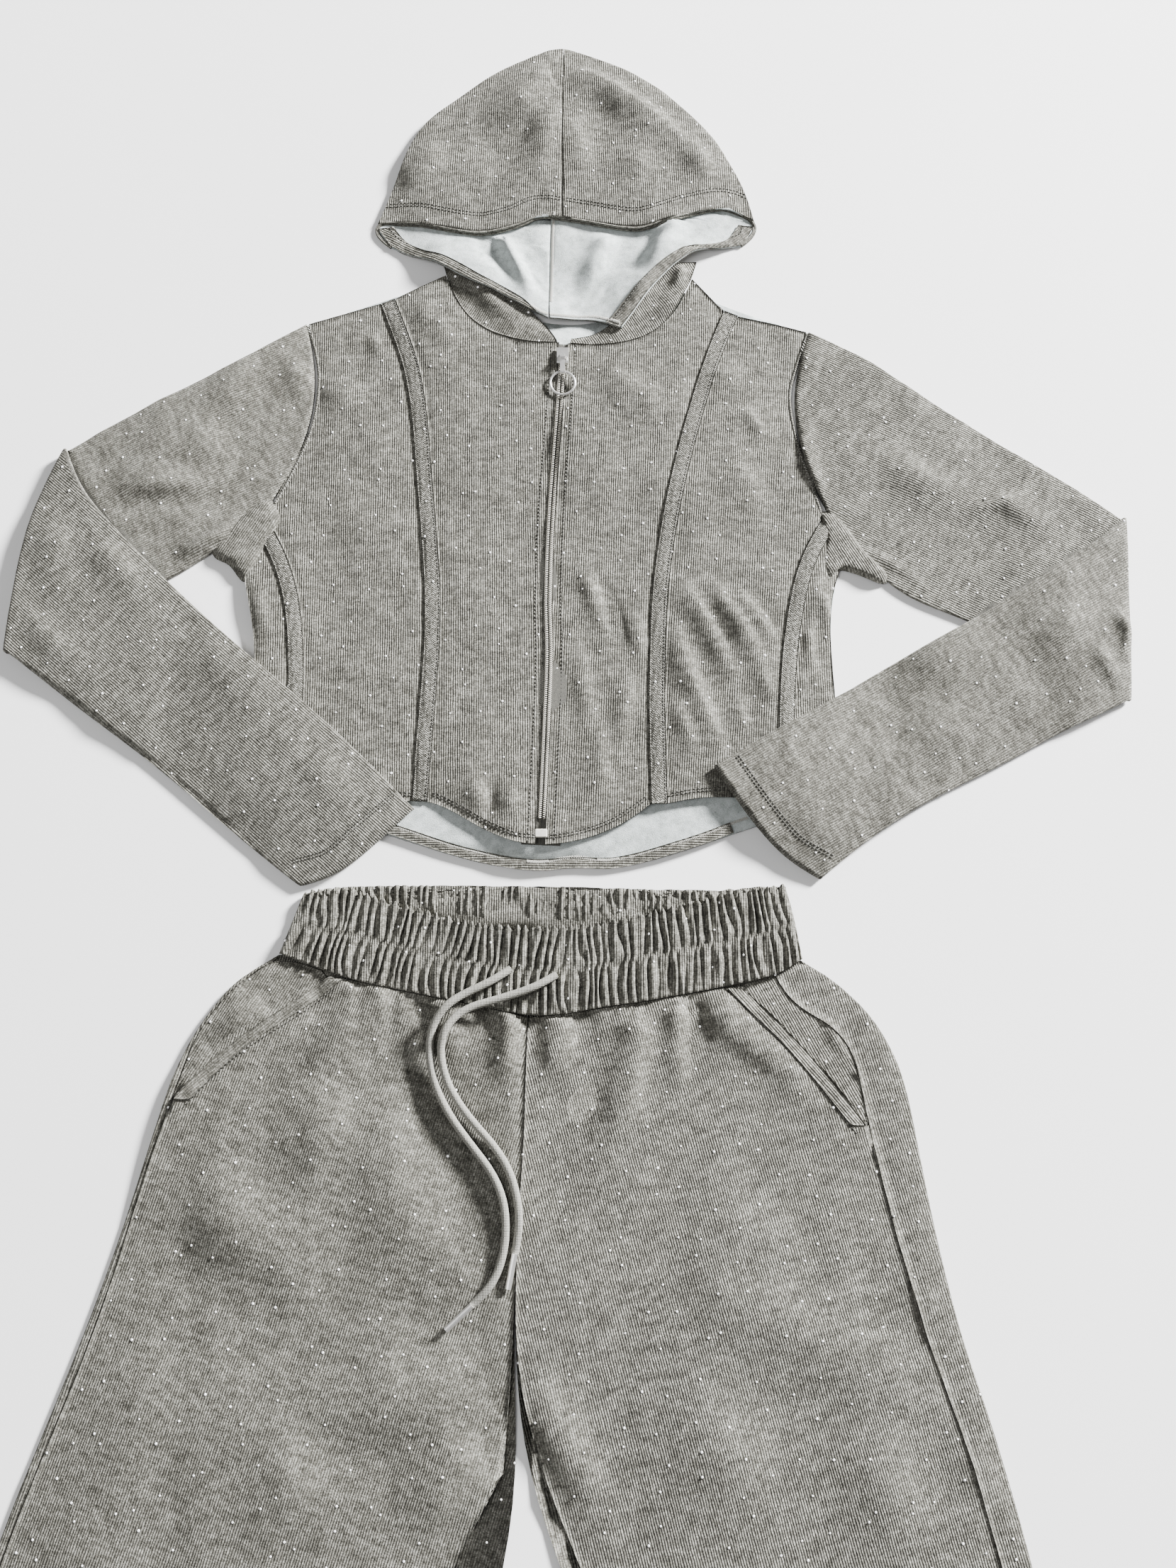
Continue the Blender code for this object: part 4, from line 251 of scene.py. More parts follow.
def smooth(points, per_span=8):
    """A smooth curve through the points of a table."""
    pts = [np.array(p, dtype=float) for p in points]
    pts = [2 * pts[0] - pts[1]] + pts + [2 * pts[-1] - pts[-2]]
    made = []
    for i in range(1, len(pts) - 2):
        p0, p1, p2, p3 = pts[i - 1:i + 3]
        for step in range(per_span):
            t = step / per_span
            made.append(0.5 * (2 * p1 + (p2 - p0) * t + (2 * p0 - 5 * p1 + 4 * p2 - p3) * t ** 2
                               + (3 * p1 - p0 - 3 * p2 + p3) * t ** 3))
    made.append(pts[-2])
    return np.array(made)


def plan(table, per_span=8):
    """A table's smooth line in metres in the part's frame."""
    line = smooth(table, per_span) if len(table) > 2 else np.array(table, dtype=float)
    return line * CM + np.array(VIEW_CENTRE[:2])


def length_of(line):
    return np.linalg.norm(np.diff(line, axis=0), axis=1).sum()


def resample(line, count):
    """Spread count points evenly along a polyline."""
    steps = np.linalg.norm(np.diff(line, axis=0), axis=1)
    along = np.concatenate([[0.0], np.cumsum(steps)])
    wanted = np.linspace(0.0, along[-1], count)
    return np.stack([np.interp(wanted, along, line[:, k]) for k in range(line.shape[1])], axis=1)


def shifted(line, distance):
    """Move a polyline sideways on the plan, to the left of its direction if positive."""
    tangent = np.gradient(line[:, :2], axis=0)
    tangent /= np.linalg.norm(tangent, axis=1)[:, None] + 1e-12
    made = line.copy()
    made[:, 0] -= tangent[:, 1] * distance
    made[:, 1] += tangent[:, 0] * distance
    return made


def away_from(points, line):
    """Distance of plan points from a polyline, their side of it and their share along it."""
    starts, spans = line[:-1], np.diff(line, axis=0)
    run = np.concatenate([[0.0], np.cumsum(np.linalg.norm(spans, axis=1))])
    best = np.full(len(points), 1e9)
    side = np.zeros(len(points))
    share = np.zeros(len(points))
    for k, (start, span) in enumerate(zip(starts, spans)):
        rel = points - start
        t = np.clip((rel @ span) / max(span @ span, 1e-12), 0.0, 1.0)
        gap = np.linalg.norm(rel - t[:, None] * span, axis=1)
        near = gap < best
        best = np.where(near, gap, best)
        side = np.where(near, span[0] * rel[:, 1] - span[1] * rel[:, 0], side)
        share = np.where(near, (run[k] + t * (run[k + 1] - run[k])) / run[-1], share)
    return best, np.sign(side), share


def step01(t):
    t = np.clip(t, 0.0, 1.0)
    return t * t * (3 - 2 * t)


def height_on(table, x):
    """The y of a line that runs from left to right, at each x."""
    line = plan(table)
    return np.interp(x, line[:, 0], line[:, 1])


def noise_at(places, seed):
    """Smooth noise of about -0.5 to 0.5 at places on a plane, one cell per unit."""
    cell = np.floor(places)
    part = places - cell
    mix = part * part * (3 - 2 * part)

    def corner(right, up):
        mixed = np.sin((cell[:, 0] + right) * 127.1 + (cell[:, 1] + up) * 311.7 + seed * 74.7) * 43758.5
        return mixed - np.floor(mixed) - 0.5

    low = corner(0, 0) * (1 - mix[:, 0]) + corner(1, 0) * mix[:, 0]
    high = corner(0, 1) * (1 - mix[:, 0]) + corner(1, 1) * mix[:, 0]
    return low * (1 - mix[:, 1]) + high * mix[:, 1]


# Camera, floor and light

def make_camera():
    data = bpy.data.cameras.new("camera")
    data.sensor_fit = "VERTICAL"
    data.sensor_height = SENSOR
    data.lens = SENSOR * FOCAL_PIXELS / FRAME_HEIGHT
    camera = bpy.data.objects.new("camera", data)
    back = Vector((0.0, -math.sin(TILT), math.cos(TILT))) * CAMERA_DISTANCE
    camera.location = Vector(VIEW_CENTRE) + back
    camera.rotation_euler = (TILT, 0.0, 0.0)
    bpy.context.scene.collection.objects.link(camera)
    bpy.context.scene.camera = camera


def make_light(name, place, size, power):
    data = bpy.data.lights.new(name, "AREA")
    data.shape = "DISK"
    data.size = size
    data.energy = power
    light = bpy.data.objects.new(name, data)
    light.location = place
    aim = Vector(VIEW_CENTRE) - Vector(place)
    light.rotation_euler = aim.to_track_quat("-Z", "Y").to_euler()
    bpy.context.scene.collection.objects.link(light)


def make_studio():
    world = bpy.data.worlds.new("soft_studio")
    world.use_nodes = True
    world.node_tree.nodes["Background"].inputs["Color"].default_value = (1.0, 1.0, 1.0, 1.0)
    world.node_tree.nodes["Background"].inputs["Strength"].default_value = 0.30
    bpy.context.scene.world = world
    make_light("key", (4.2, 3.4, 2.0), 1.1, 2750)
    make_light("fill", (-1.2, -0.4, 2.6), 1.6, 30)
    data = bpy.data.meshes.new("floor")
    mesh = bmesh.new()
    bmesh.ops.create_grid(mesh, x_segments=1, y_segments=1, size=6.0)
    mesh.to_mesh(data)
    mesh.free()
    floor = bpy.data.objects.new("floor", data)
    floor.location = (0.0, 0.0, -FLOOR_DROP)
    data.materials.append(floor_material())
    bpy.context.scene.collection.objects.link(floor)


# Materials

class Nodes:
    """Small helpers to wire a material's nodes."""

    def __init__(self, name, roughness, metallic=0.0, sheen=0.0, specular=0.5):
        self.material = bpy.data.materials.new(name)
        self.material.use_nodes = True
        self.tree = self.material.node_tree
        self.shader = self.tree.nodes["Principled BSDF"]
        self.shader.inputs["Roughness"].default_value = roughness
        self.shader.inputs["Metallic"].default_value = metallic
        self.shader.inputs["Sheen Weight"].default_value = sheen
        self.shader.inputs["Sheen Roughness"].default_value = 0.45
        self.shader.inputs["Specular IOR Level"].default_value = specular

    def add(self, kind, **properties):
        node = self.tree.nodes.new(kind)
        for key, value in properties.items():
            setattr(node, key, value)
        return node

    def feed(self, socket, value):
        if isinstance(value, bpy.types.NodeSocket):
            self.tree.links.new(value, socket)
        else:
            socket.default_value = value

    def math(self, operation, first, second=0.0, third=0.0):
        node = self.add("ShaderNodeMath", operation=operation)
        for socket, value in zip(node.inputs, (first, second, third)):
            self.feed(socket, value)
        return node.outputs[0]

    def blend(self, *shares):
        """A weighted sum of values."""
        total = 0.0
        for value, weight in shares:
            total = self.math("MULTIPLY_ADD", value, weight, total)
        return total

    def noise(self, vector, scale, detail=2.0, roughness=0.5):
        """Noise over a vector that is first stretched by scale, a number or three."""
        node = self.add("ShaderNodeVectorMath", operation="MULTIPLY")
        self.feed(node.inputs[0], vector)
        node.inputs[1].default_value = scale if hasattr(scale, "__len__") else (scale,) * 3
        made = self.add("ShaderNodeTexNoise")
        self.feed(made.inputs["Vector"], node.outputs[0])
        made.inputs["Scale"].default_value = 1.0
        made.inputs["Detail"].default_value = detail
        made.inputs["Roughness"].default_value = roughness
        return made.outputs["Fac"]

    def ramp(self, value, *stops):
        node = self.add("ShaderNodeValToRGB")
        self.feed(node.inputs["Fac"], value)
        items = node.color_ramp.elements
        while len(items) < len(stops):
            items.new(0.5)
        for item, (place, colour) in zip(items, stops):
            item.position = place
            item.color = (*colour, 1.0)
        return node.outputs["Color"]

    def mix(self, share, first, second):
        node = self.add("ShaderNodeMix", data_type="RGBA")
        self.feed(node.inputs[0], share)
        self.feed(node.inputs[6], first)
        self.feed(node.inputs[7], second)
        return node.outputs[2]

    def bump(self, height, distance, strength=1.0):
        node = self.add("ShaderNodeBump")
        node.inputs["Strength"].default_value = strength
        node.inputs["Distance"].default_value = distance
        self.feed(node.inputs["Height"], height)
        self.feed(self.shader.inputs["Normal"], node.outputs["Normal"])

    def colour(self, socket):
        self.feed(self.shader.inputs["Base Color"], socket)

    def object_place(self):
        return self.add("ShaderNodeTexCoord").outputs["Object"]

    def grain(self):
        """The cloth's own coordinates in metres: both, across the ribs, along them."""
        node = self.add("ShaderNodeAttribute", attribute_name="grain")
        split = self.add("ShaderNodeSeparateXYZ")
        self.feed(split.inputs[0], node.outputs["Vector"])
        return node.outputs["Vector"], split.outputs[0], split.outputs[1]

    def waves(self, place, pitch, wander, amount):
        """Ribs: 0 in their grooves and 1 on their ridges."""
        turns = self.math("MULTIPLY_ADD", place, 2 * math.pi / pitch, self.math("MULTIPLY", wander, amount))
        return self.math("MULTIPLY_ADD", self.math("SINE", turns), 0.5, 0.5)


def knit_material():
    """Marled knit: fine ribs, pale and dark fibres in flecks, cloudy patches."""
    nodes = Nodes("heather_knit", 0.80, sheen=0.03, specular=0.22)
    vector, across, along = nodes.grain()
    rib = nodes.waves(across, RIB_PITCH, nodes.noise(vector, (260.0, 90.0, 90.0), 1.0), 3.0)
    fleck = nodes.noise(vector, (560.0, 1150.0, 430.0), 2.0, 0.6)
    streak = nodes.noise(vector, (850.0, 300.0, 300.0), 2.0, 0.6)
    cloud = nodes.noise(vector, (95.0, 220.0, 100.0), 3.0, 0.6)
    tone = nodes.blend((fleck, 0.40), (streak, 0.30), (cloud, 0.30))
    base = nodes.ramp(tone,
                      (0.37, (0.032, 0.031, 0.025)),
                      (0.46, (0.100, 0.096, 0.081)),
                      (0.53, (0.192, 0.187, 0.162)),
                      (0.62, (0.370, 0.362, 0.322)))
    # The grooves between the ribs are darkened towards near black: painted shade.
    rib_groove_shade = nodes.math("MULTIPLY_ADD", rib, -0.58, 0.58)
    nodes.colour(nodes.mix(rib_groove_shade, base, (0.030, 0.029, 0.023, 1.0)))
    nodes.bump(nodes.blend((rib, 0.8), (fleck, 0.6)), 0.0007, 0.8)
    return nodes.material


def strip_material():
    """The same yarn in slanted cross ribs."""
    nodes = Nodes("cross_rib", 0.80, sheen=0.03, specular=0.22)
    vector, across, along = nodes.grain()
    slant = nodes.math("MULTIPLY_ADD", nodes.math("PINGPONG", across, 0.0022), 0.9, along)
    rib = nodes.waves(slant, 0.0017, nodes.noise(vector, (300.0, 300.0, 90.0), 1.0), 2.0)
    fleck = nodes.noise(vector, (800.0, 700.0, 420.0), 3.0, 0.62)
    base = nodes.ramp(fleck, (0.38, (0.034, 0.033, 0.026)), (0.5, (0.155, 0.151, 0.130)),
                      (0.62, (0.390, 0.381, 0.342)))
    # The grooves between the slanted ribs are darkened towards near black: painted shade.
    rib_groove_shade = nodes.math("MULTIPLY_ADD", rib, -0.75, 0.75)
    nodes.colour(nodes.mix(rib_groove_shade, base, (0.028, 0.027, 0.022, 1.0)))
    nodes.bump(nodes.blend((rib, 1.0), (fleck, 0.4)), 0.0006, 0.8)
    return nodes.material


def fleece_material():
    """The brushed back of the knit: pale, with a short nap."""
    nodes = Nodes("fleece", 0.92, sheen=0.1, specular=0.15)
    place = nodes.object_place()
    nap = nodes.noise(place, 1500.0, 3.0, 0.6)
    patch = nodes.noise(place, 160.0, 3.0, 0.6)
    tone = nodes.blend((nap, 0.5), (patch, 0.5))
    nodes.colour(nodes.ramp(tone, (0.34, (0.24, 0.26, 0.25)), (0.5, (0.42, 0.455, 0.448)),
                            (0.64, (0.56, 0.60, 0.595))))
    nodes.bump(nap, 0.0005, 0.6)
    return nodes.material


def cord_material():
    """Braided cord: slanted yarns that cross."""
    nodes = Nodes("braid", 0.75, sheen=0.03, specular=0.22)
    place = nodes.object_place()
    split = nodes.add("ShaderNodeSeparateXYZ")
    nodes.feed(split.inputs[0], place)
    one = nodes.math("SINE", nodes.blend((split.outputs[0], 3000.0), (split.outputs[1], 3000.0)))
    two = nodes.math("SINE", nodes.blend((split.outputs[0], 3000.0), (split.outputs[1], -3000.0)))
    braid = nodes.math("MULTIPLY_ADD", nodes.math("MULTIPLY", one, two), 0.5, 0.5)
    fine = nodes.noise(place, 1800.0, 2.0, 0.6)
    tone = nodes.blend((fine, 0.6), (braid, 0.4))
    nodes.colour(nodes.ramp(tone, (0.25, (0.095, 0.093, 0.080)), (0.5, (0.235, 0.230, 0.205)),
                            (0.75, (0.42, 0.41, 0.375))))
    nodes.bump(braid, 0.0004, 0.7)
    return nodes.material


def metal_material():
    nodes = Nodes("nickel", 0.38, metallic=1.0)
    worn = nodes.noise(nodes.object_place(), 900.0, 3.0, 0.6)
    nodes.colour(nodes.ramp(worn, (0.3, (0.80, 0.79, 0.77)), (0.7, (0.95, 0.94, 0.92))))
    nodes.bump(worn, 0.00004, 0.3)
    return nodes.material


def plain_material(name, colour, roughness, scale=700.0, spread=0.15, depth=0.0001):
    """A plain stuff with a little unevenness of colour and surface."""
    nodes = Nodes(name, roughness)
    tint = nodes.noise(nodes.object_place(), scale, 2.0, 0.5)
    low = tuple(c * (1 - spread) for c in colour)
    high = tuple(c * (1 + spread) for c in colour)
    nodes.colour(nodes.ramp(tint, (0.35, low), (0.65, high)))
    nodes.bump(tint, depth, 0.4)
    return nodes.material


def floor_material():
    nodes = Nodes("pale_floor", 0.9, specular=0.1)
    tint = nodes.noise(nodes.object_place(), 3.0, 1.0, 0.5)
    nodes.colour(nodes.ramp(tint, (0.3, (0.90, 0.90, 0.90)), (0.7, (0.92, 0.92, 0.92))))
    return nodes.material


# Cloth pieces made from the frame's solids

CUT_EDGE = math.radians(68)       # sharper edges are cut edges and stay crisp
CORNER = math.radians(24)         # so do corners of an outline that turn by more
LOWEST = 0.0033                   # folds never press the upper side of a piece below this
FOLD_GAIN = 2.3
SEAM_PULL = 0.0032                # how far the cloth is drawn over to the armholes' lower parts
AGLET_SPOTS = ((-8.4, -36.8), (-5.1, -33.8))
PULL_SPOT = (-2.0, 32.4)            # where the link and the ring lie on the cloth


class Cloth:
    """A cloth piece: a smooth, finely divided copy of one solid."""

    def __init__(self, node, levels):
        self.node = node
        bm = bmesh.new()
        bm.from_mesh(NODES[node].data)
        bmesh.ops.remove_doubles(bm, verts=bm.verts, dist=1e-5)
        bmesh.ops.join_triangles(bm, faces=bm.faces, angle_face_threshold=math.radians(50),
                                 angle_shape_threshold=math.radians(70))
        crease = bm.edges.layers.float.new("crease_edge")
        sharp = bm.verts.layers.float.new("crease_vert")
        for edge in bm.edges:
            if edge.is_manifold and edge.calc_face_angle() > CUT_EDGE:
                edge[crease] = 1.0
        for vert in bm.verts:
            ways = [e.other_vert(vert).co - vert.co for e in vert.link_edges if e[crease] > 0]
            if len(ways) == 2 and ways[0].angle(ways[1]) < math.pi - CORNER:
                vert[sharp] = 1.0
        rough = bpy.data.meshes.new(node + "_rough")
        bm.to_mesh(rough)
        bm.free()
        self.piece = bpy.data.objects.new(node + "_cloth", rough)
        bpy.context.scene.collection.objects.link(self.piece)
        modifier = self.piece.modifiers.new("Fine", "SUBSURF")
        modifier.levels = modifier.render_levels = levels
        fine = self.piece.evaluated_get(bpy.context.evaluated_depsgraph_get())
        self.mesh = bpy.data.meshes.new_from_object(fine)
        self.piece.modifiers.clear()
        self.piece.data = self.mesh
        bpy.data.meshes.remove(rough)
        self.mesh.name = node + "_cloth"
        self.mesh.materials.clear()
        self.mesh.shade_smooth()
        self.points = np.zeros(len(self.mesh.vertices) * 3)
        self.mesh.vertices.foreach_get("co", self.points)
        self.points = self.points.reshape(-1, 3)
        self.rim = self.find_rim()
        self.top = self.find_top()

    def store(self):
        self.mesh.vertices.foreach_set("co", self.points.ravel())
        self.mesh.update()

    def faces(self):
        return [p.vertices[:] for p in self.mesh.polygons]

    def find_rim(self):
        """Places where the upper side ends at a cut edge."""
        bm = bmesh.new()
        bm.from_mesh(self.mesh)
        spots = set()
        for edge in bm.edges:
            if len(edge.link_faces) == 2:
                one, two = (f.normal for f in edge.link_faces)
                if one.angle(two, 0.0) > math.radians(45) and max(one.z, two.z) > 0.55:
                    spots.update(v.index for v in edge.verts)
        bm.free()
        return sorted(spots)

    def find_top(self):
        """The height of the piece's upper side over each of its points."""
        tree = BVHTree.FromPolygons(self.points.tolist(), self.faces())
        top = self.points[:, 2].copy()
        for i, (x, y, z) in enumerate(self.points):
            hit = tree.ray_cast(Vector((x, y, 0.1)), DOWN)[0]
            if hit is not None:
                top[i] = max(hit.z, z)
        return top

    def raise_by(self, field):
        """Move the layer that shows from above, and nothing that lies deeper."""
        share = 1 - step01((self.top - self.points[:, 2] - 1.7 * MM) / (1.2 * MM))
        self.points[:, 2] += np.maximum(field, -np.maximum(self.top - LOWEST, 0.0)) * share
        np.maximum(self.points[:, 2], 0.0, out=self.points[:, 2])

    def pull_to(self, table, pull):
        """Draw the cloth over to a seam's lower part, which closes the slit along it."""
        path = plan(table, 4)
        flat = self.points[:, :2]
        low, high = path.min(axis=0) - 0.03, path.max(axis=0) + 0.03
        near = np.nonzero(np.all((flat > low) & (flat < high), axis=1))[0]
        gap, side, share = away_from(flat[near], path)
        step = 0.0001
        right = away_from(flat[near] + (step, 0), path)[0]
        up = away_from(flat[near] + (0, step), path)[0]
        way = np.column_stack([gap - right, gap - up]) / step
        amount = pull * step01((share - 0.35) / 0.5) * (1 - step01(gap / (5 * pull)))
        self.points[near, :2] += way * amount[:, None]

    def fold(self, table, ripple=1.0):
        self.raise_by(field_at(self.points[:, :2], table, ripple))

    def soften_rim(self, drop, width):
        """Round the upper side down towards its edge."""
        tree = KDTree(len(self.rim))
        for k, i in enumerate(self.rim):
            tree.insert(self.points[i], k)
        tree.balance()
        normals = np.zeros(len(self.points) * 3)
        self.mesh.vertex_normals.foreach_get("vector", normals)
        up = normals.reshape(-1, 3)[:, 2] > 0.25
        for i in np.nonzero(up)[0]:
            gap = tree.find(self.points[i])[2]
            self.points[i, 2] -= drop * math.exp(-(gap / width) ** 2)

    def grain(self, degrees, other=None):
        """Set the cloth's own coordinates; degrees is the way the ribs run on the plan.

        other is a line and the way the ribs run on its right side.
        """
        flat = self.points[:, :2]
        values = np.zeros((len(self.points), 3))
        values[:, :2] = turned(flat, degrees)
        if other is not None:
            line, way = other
            side = away_from(flat, plan(line))[1]
            values[:, :2] = np.where(side[:, None] < 0, turned(flat, way), values[:, :2])
        values[:, 2] = self.points[:, 2] + 0.37 * len(self.node)
        layer = self.mesh.attributes.new("grain", "FLOAT_VECTOR", "POINT")
        layer.data.foreach_set("vector", values.astype(np.float32).ravel())
        self.sizes = np.ptp(values[:, :2], axis=0)

    def finish(self, slot, *materials, pick=None):
        for item in materials:
            self.mesh.materials.append(item)
        self.store()
        if pick is not None:
            for polygon in self.mesh.polygons:
                polygon.material_index = pick(polygon)
        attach(self.piece, BODY)
        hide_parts(self.node)
        declare(self.piece)


def declare(piece):
    """Read the area of each face of the piece; nothing is done with it."""
    area = np.zeros(len(piece.data.polygons))
    piece.data.polygons.foreach_get("area", area)


def turned(flat, degrees):
    """Plan points as places across and along ribs that run in a direction."""
    turn = math.radians(degrees)
    along = np.array((math.cos(turn), math.sin(turn)))
    return np.column_stack([flat @ np.array((-along[1], along[0])), flat @ along])


def folds_at(points, table):
    """Height in metres that a table's folds add at each plan point."""
    added = np.zeros(len(points))
    for line, left, right, height, rise in table:
        path = plan(line, 4)
        reach = 3 * max(left, right) * CM
        low, high = path.min(axis=0) - reach, path.max(axis=0) + reach
        near = np.all((points > low) & (points < high), axis=1)
        if near.any():
            gap, side, share = away_from(points[near], path)
            width = np.where(side > 0, left, right) * CM
            strength = step01((share + 0.02) / rise) * step01((1 - share) / 0.55)
            added[near] += height * MM * strength * np.exp(-(gap / width) ** 2)
    return added


def ripple_at(points):
    """Small unevenness of cloth that was smoothed out by hand."""
    wide = noise_at(points * (15, 10), 3.7)
    middle = noise_at(points * (36, 26), 5.2)
    fine = noise_at(points * (90, 60), 9.1)
    return 0.0060 * wide + 0.0031 * middle + 0.0008 * fine


def field_at(points, table, ripple=1.0):
    """What the folds, the unevenness and the waistband's pull add to the height of the cloth."""
    field = FOLD_GAIN * folds_at(points, table) + ripple * ripple_at(points)
    if table is LEGS:
        field += puckers_at(points)
        for spot in AGLET_SPOTS:
            gap = np.linalg.norm(points - plan((spot, spot))[0], axis=1)
            field *= 1 - np.exp(-(gap / 0.024) ** 4)
    if table is JACKET:
        gap = np.linalg.norm(points - plan((PULL_SPOT, PULL_SPOT))[0], axis=1)
        field *= 1 - np.exp(-(gap / 0.026) ** 4)
    return field


def puckers_at(points):
    """Small folds that the gathered waistband makes in the tops of the legs."""
    gap = height_on(BAND_LOW_FRONT, points[:, 0]) - points[:, 1]
    waves = noise_at(np.column_stack([points[:, 0] * 62, gap * 5]), 1.3)
    waves += 0.6 * noise_at(np.column_stack([points[:, 0] * 130, gap * 9]), 6.3)
    return 0.0070 * waves * np.exp(-np.abs(gap) / 0.024) * step01(gap / 0.005)


def gathers(points):
    """The waistband's gathers; they change over halfway down."""
    low, high = height_on(BAND_LOW_FRONT, points[:, 0]), height_on(BAND_TOP_FRONT, points[:, 0])
    down = np.clip((high - points[:, 1]) / (high - low), -0.2, 1.2)
    left = (plan(((-20.2, -8.1), (-21.8, -12.4)))[:, 0], plan(((14.1, -7.6), (15.1, -12.8)))[:, 0])
    start = left[0][0] + (left[0][1] - left[0][0]) * down
    end = left[1][0] + (left[1][1] - left[1][0]) * down
    across = (points[:, 0] - start) / (end - start)
    wander = 1.5 * noise_at(np.column_stack([across * 24, down * 1.5]), 2.2)
    wander += 0.6 * noise_at(np.column_stack([across * 70, down * 2.6]), 7.9)
    phase = across * GATHERS + wander + 0.5 * step01((down - 0.44) / 0.10)
    ridge = np.abs(np.cos(math.pi * phase)) ** 0.8
    strength = 1.0 + 1.5 * noise_at(np.column_stack([across * 45, down * 3]), 4.4)
    strength *= 0.6 + 0.4 * np.abs(np.sin(2 * math.pi * np.clip(down, 0.03, 0.97)))
    edge = BAND_STAND * np.exp(-np.maximum(down, 0.0) / 0.22) * np.sin(math.pi * np.clip(across, 0.0, 1.0))
    return 2.6 * GATHER_DEPTH * strength * (ridge - 0.55) + edge, phase, down


# Pieces

# Panels: node, fineness, way of the ribs, folds
PANELS = (
    ("centre_front_left", 3, 91, JACKET),
    ("centre_front_right", 3, 88, JACKET),
    ("side_front_left", 3, 91, JACKET),
    ("side_front_right", 3, 86, JACKET),
    ("side_panel_left", 3, 92, JACKET),
    ("side_panel_right", 3, 90, JACKET),
    ("jacket_back_hem", 3, 0, ()),
    ("front_leg_left", 3, 73, LEGS),
    ("front_leg_right", 3, 105, LEGS),
    ("pocket_facing_left", 3, 60, LEGS),
    ("pocket_facing_right", 3, 118, LEGS),
    ("pocket_hem_left", 3, 40, LEGS),
    ("pocket_hem_right", 3, 130, LEGS),
    ("hood_hem_left", 3, 150, HOOD),
    ("hood_hem_right", 3, 40, HOOD),
    ("hood_neck_left", 3, 60, HOOD),
    ("hood_neck_right", 3, 120, HOOD),
    ("back_leg_left", 2, 73, LEGS),
    ("back_leg_right", 2, 105, LEGS),
)
# Strips: node, way they run
STRIPS = (("princess_channel_left", 91), ("princess_channel_right", 82), ("side_channel_left", 86),
          ("side_channel_right", 82))
# Sleeves: node, way of the ribs on the upper arm, line of the forearm's fold, way on the forearm
SLEEVE_PARTS = (("sleeve_left", 208, FOREARM_LEFT, 319), ("sleeve_right", 333, FOREARM_RIGHT[::-1], 210))


def build_cloth(knit, strip, fleece):
    made = []
    for node, levels, ribs, folds in PANELS:
        cloth = Cloth(node, levels)
        if node.startswith("side_"):
            cloth.pull_to(ARMHOLE_LEFT if node.endswith("left") else ARMHOLE_RIGHT, SEAM_PULL)
        cloth.fold(folds, ripple=0.5 if node == "jacket_back_hem" else 1.0)
        cloth.soften_rim(0.0007, 0.0035)
        cloth.grain(ribs)
        cloth.finish("knit", knit)
        made.append(cloth)
    for node, ribs in STRIPS:
        cloth = Cloth(node, 3)
        cloth.fold(JACKET)
        cloth.soften_rim(0.0007, 0.002)
        cloth.grain(ribs)
        cloth.finish("ribbed_strip", strip)
        made.append(cloth)
    back = Cloth("jacket_back", 3)
    back.fold((), ripple=0.5)
    back.grain(91)
    back.finish("knit", knit, fleece, pick=lambda p: 1 if p.normal.z > 0.3 else 0)
    made.append(back)
    for node, ribs, line, way in SLEEVE_PARTS:
        sleeve = Cloth(node, 3)
        sleeve.fold(SLEEVES)
        sleeve.grain(ribs, other=(line, way))
        sleeve.finish("knit", knit)
        made.append(sleeve)
    for node, ribs in (("hood_left", 88), ("hood_right", 92)):
        hood = Cloth(node, 3)
        hood.fold(HOOD)
        hood.grain(ribs)
        hood.finish("knit", knit, fleece, pick=hood_side)
        made.append(hood)
    band = Cloth("waistband", 3)
    rise, phase, down = gathers(band.points[:, :2])
    band.raise_by(rise)
    band.points[:, 1] += 0.0018 * np.cos(2 * math.pi * phase) * np.exp(-np.abs(down) / 0.08)
    band.grain(90)
    band.finish("knit", knit)
    made.append(band)
    return made


def hood_side(polygon):
    """1 where the brushed inside of the hood shows."""
    x, y, z = polygon.center
    if polygon.normal.z < 0.25:
        return 0
    mouth = height_on(MOUTH_LEFT, x) if x < plan(MOUTH_RIGHT)[0][0] else height_on(MOUTH_RIGHT, x)
    return 1 if y < mouth - 0.0005 or z < 2.8 * MM else 0


class Surface:
    """What shows from above, of all cloth pieces together."""

    def __init__(self, cloths):
        points, faces, self.owners = [], [], []
        for cloth in cloths:
            base = len(points)
            points += cloth.points.tolist()
            faces += [[base + i for i in face] for face in cloth.faces()]
            self.owners += [(cloth, k) for k in range(len(cloth.mesh.polygons))]
        self.tree = BVHTree.FromPolygons(points, faces)

    def below(self, x, y):
        """The place, normal, node and finish number of the cloth under a plan point."""
        place, normal, index, _ = self.tree.ray_cast(Vector((x, y, 0.1)), DOWN)
        if place is None:
            return None, None, "", 0
        cloth, k = self.owners[index]
        return place, normal, cloth.node, cloth.mesh.polygons[k].material_index


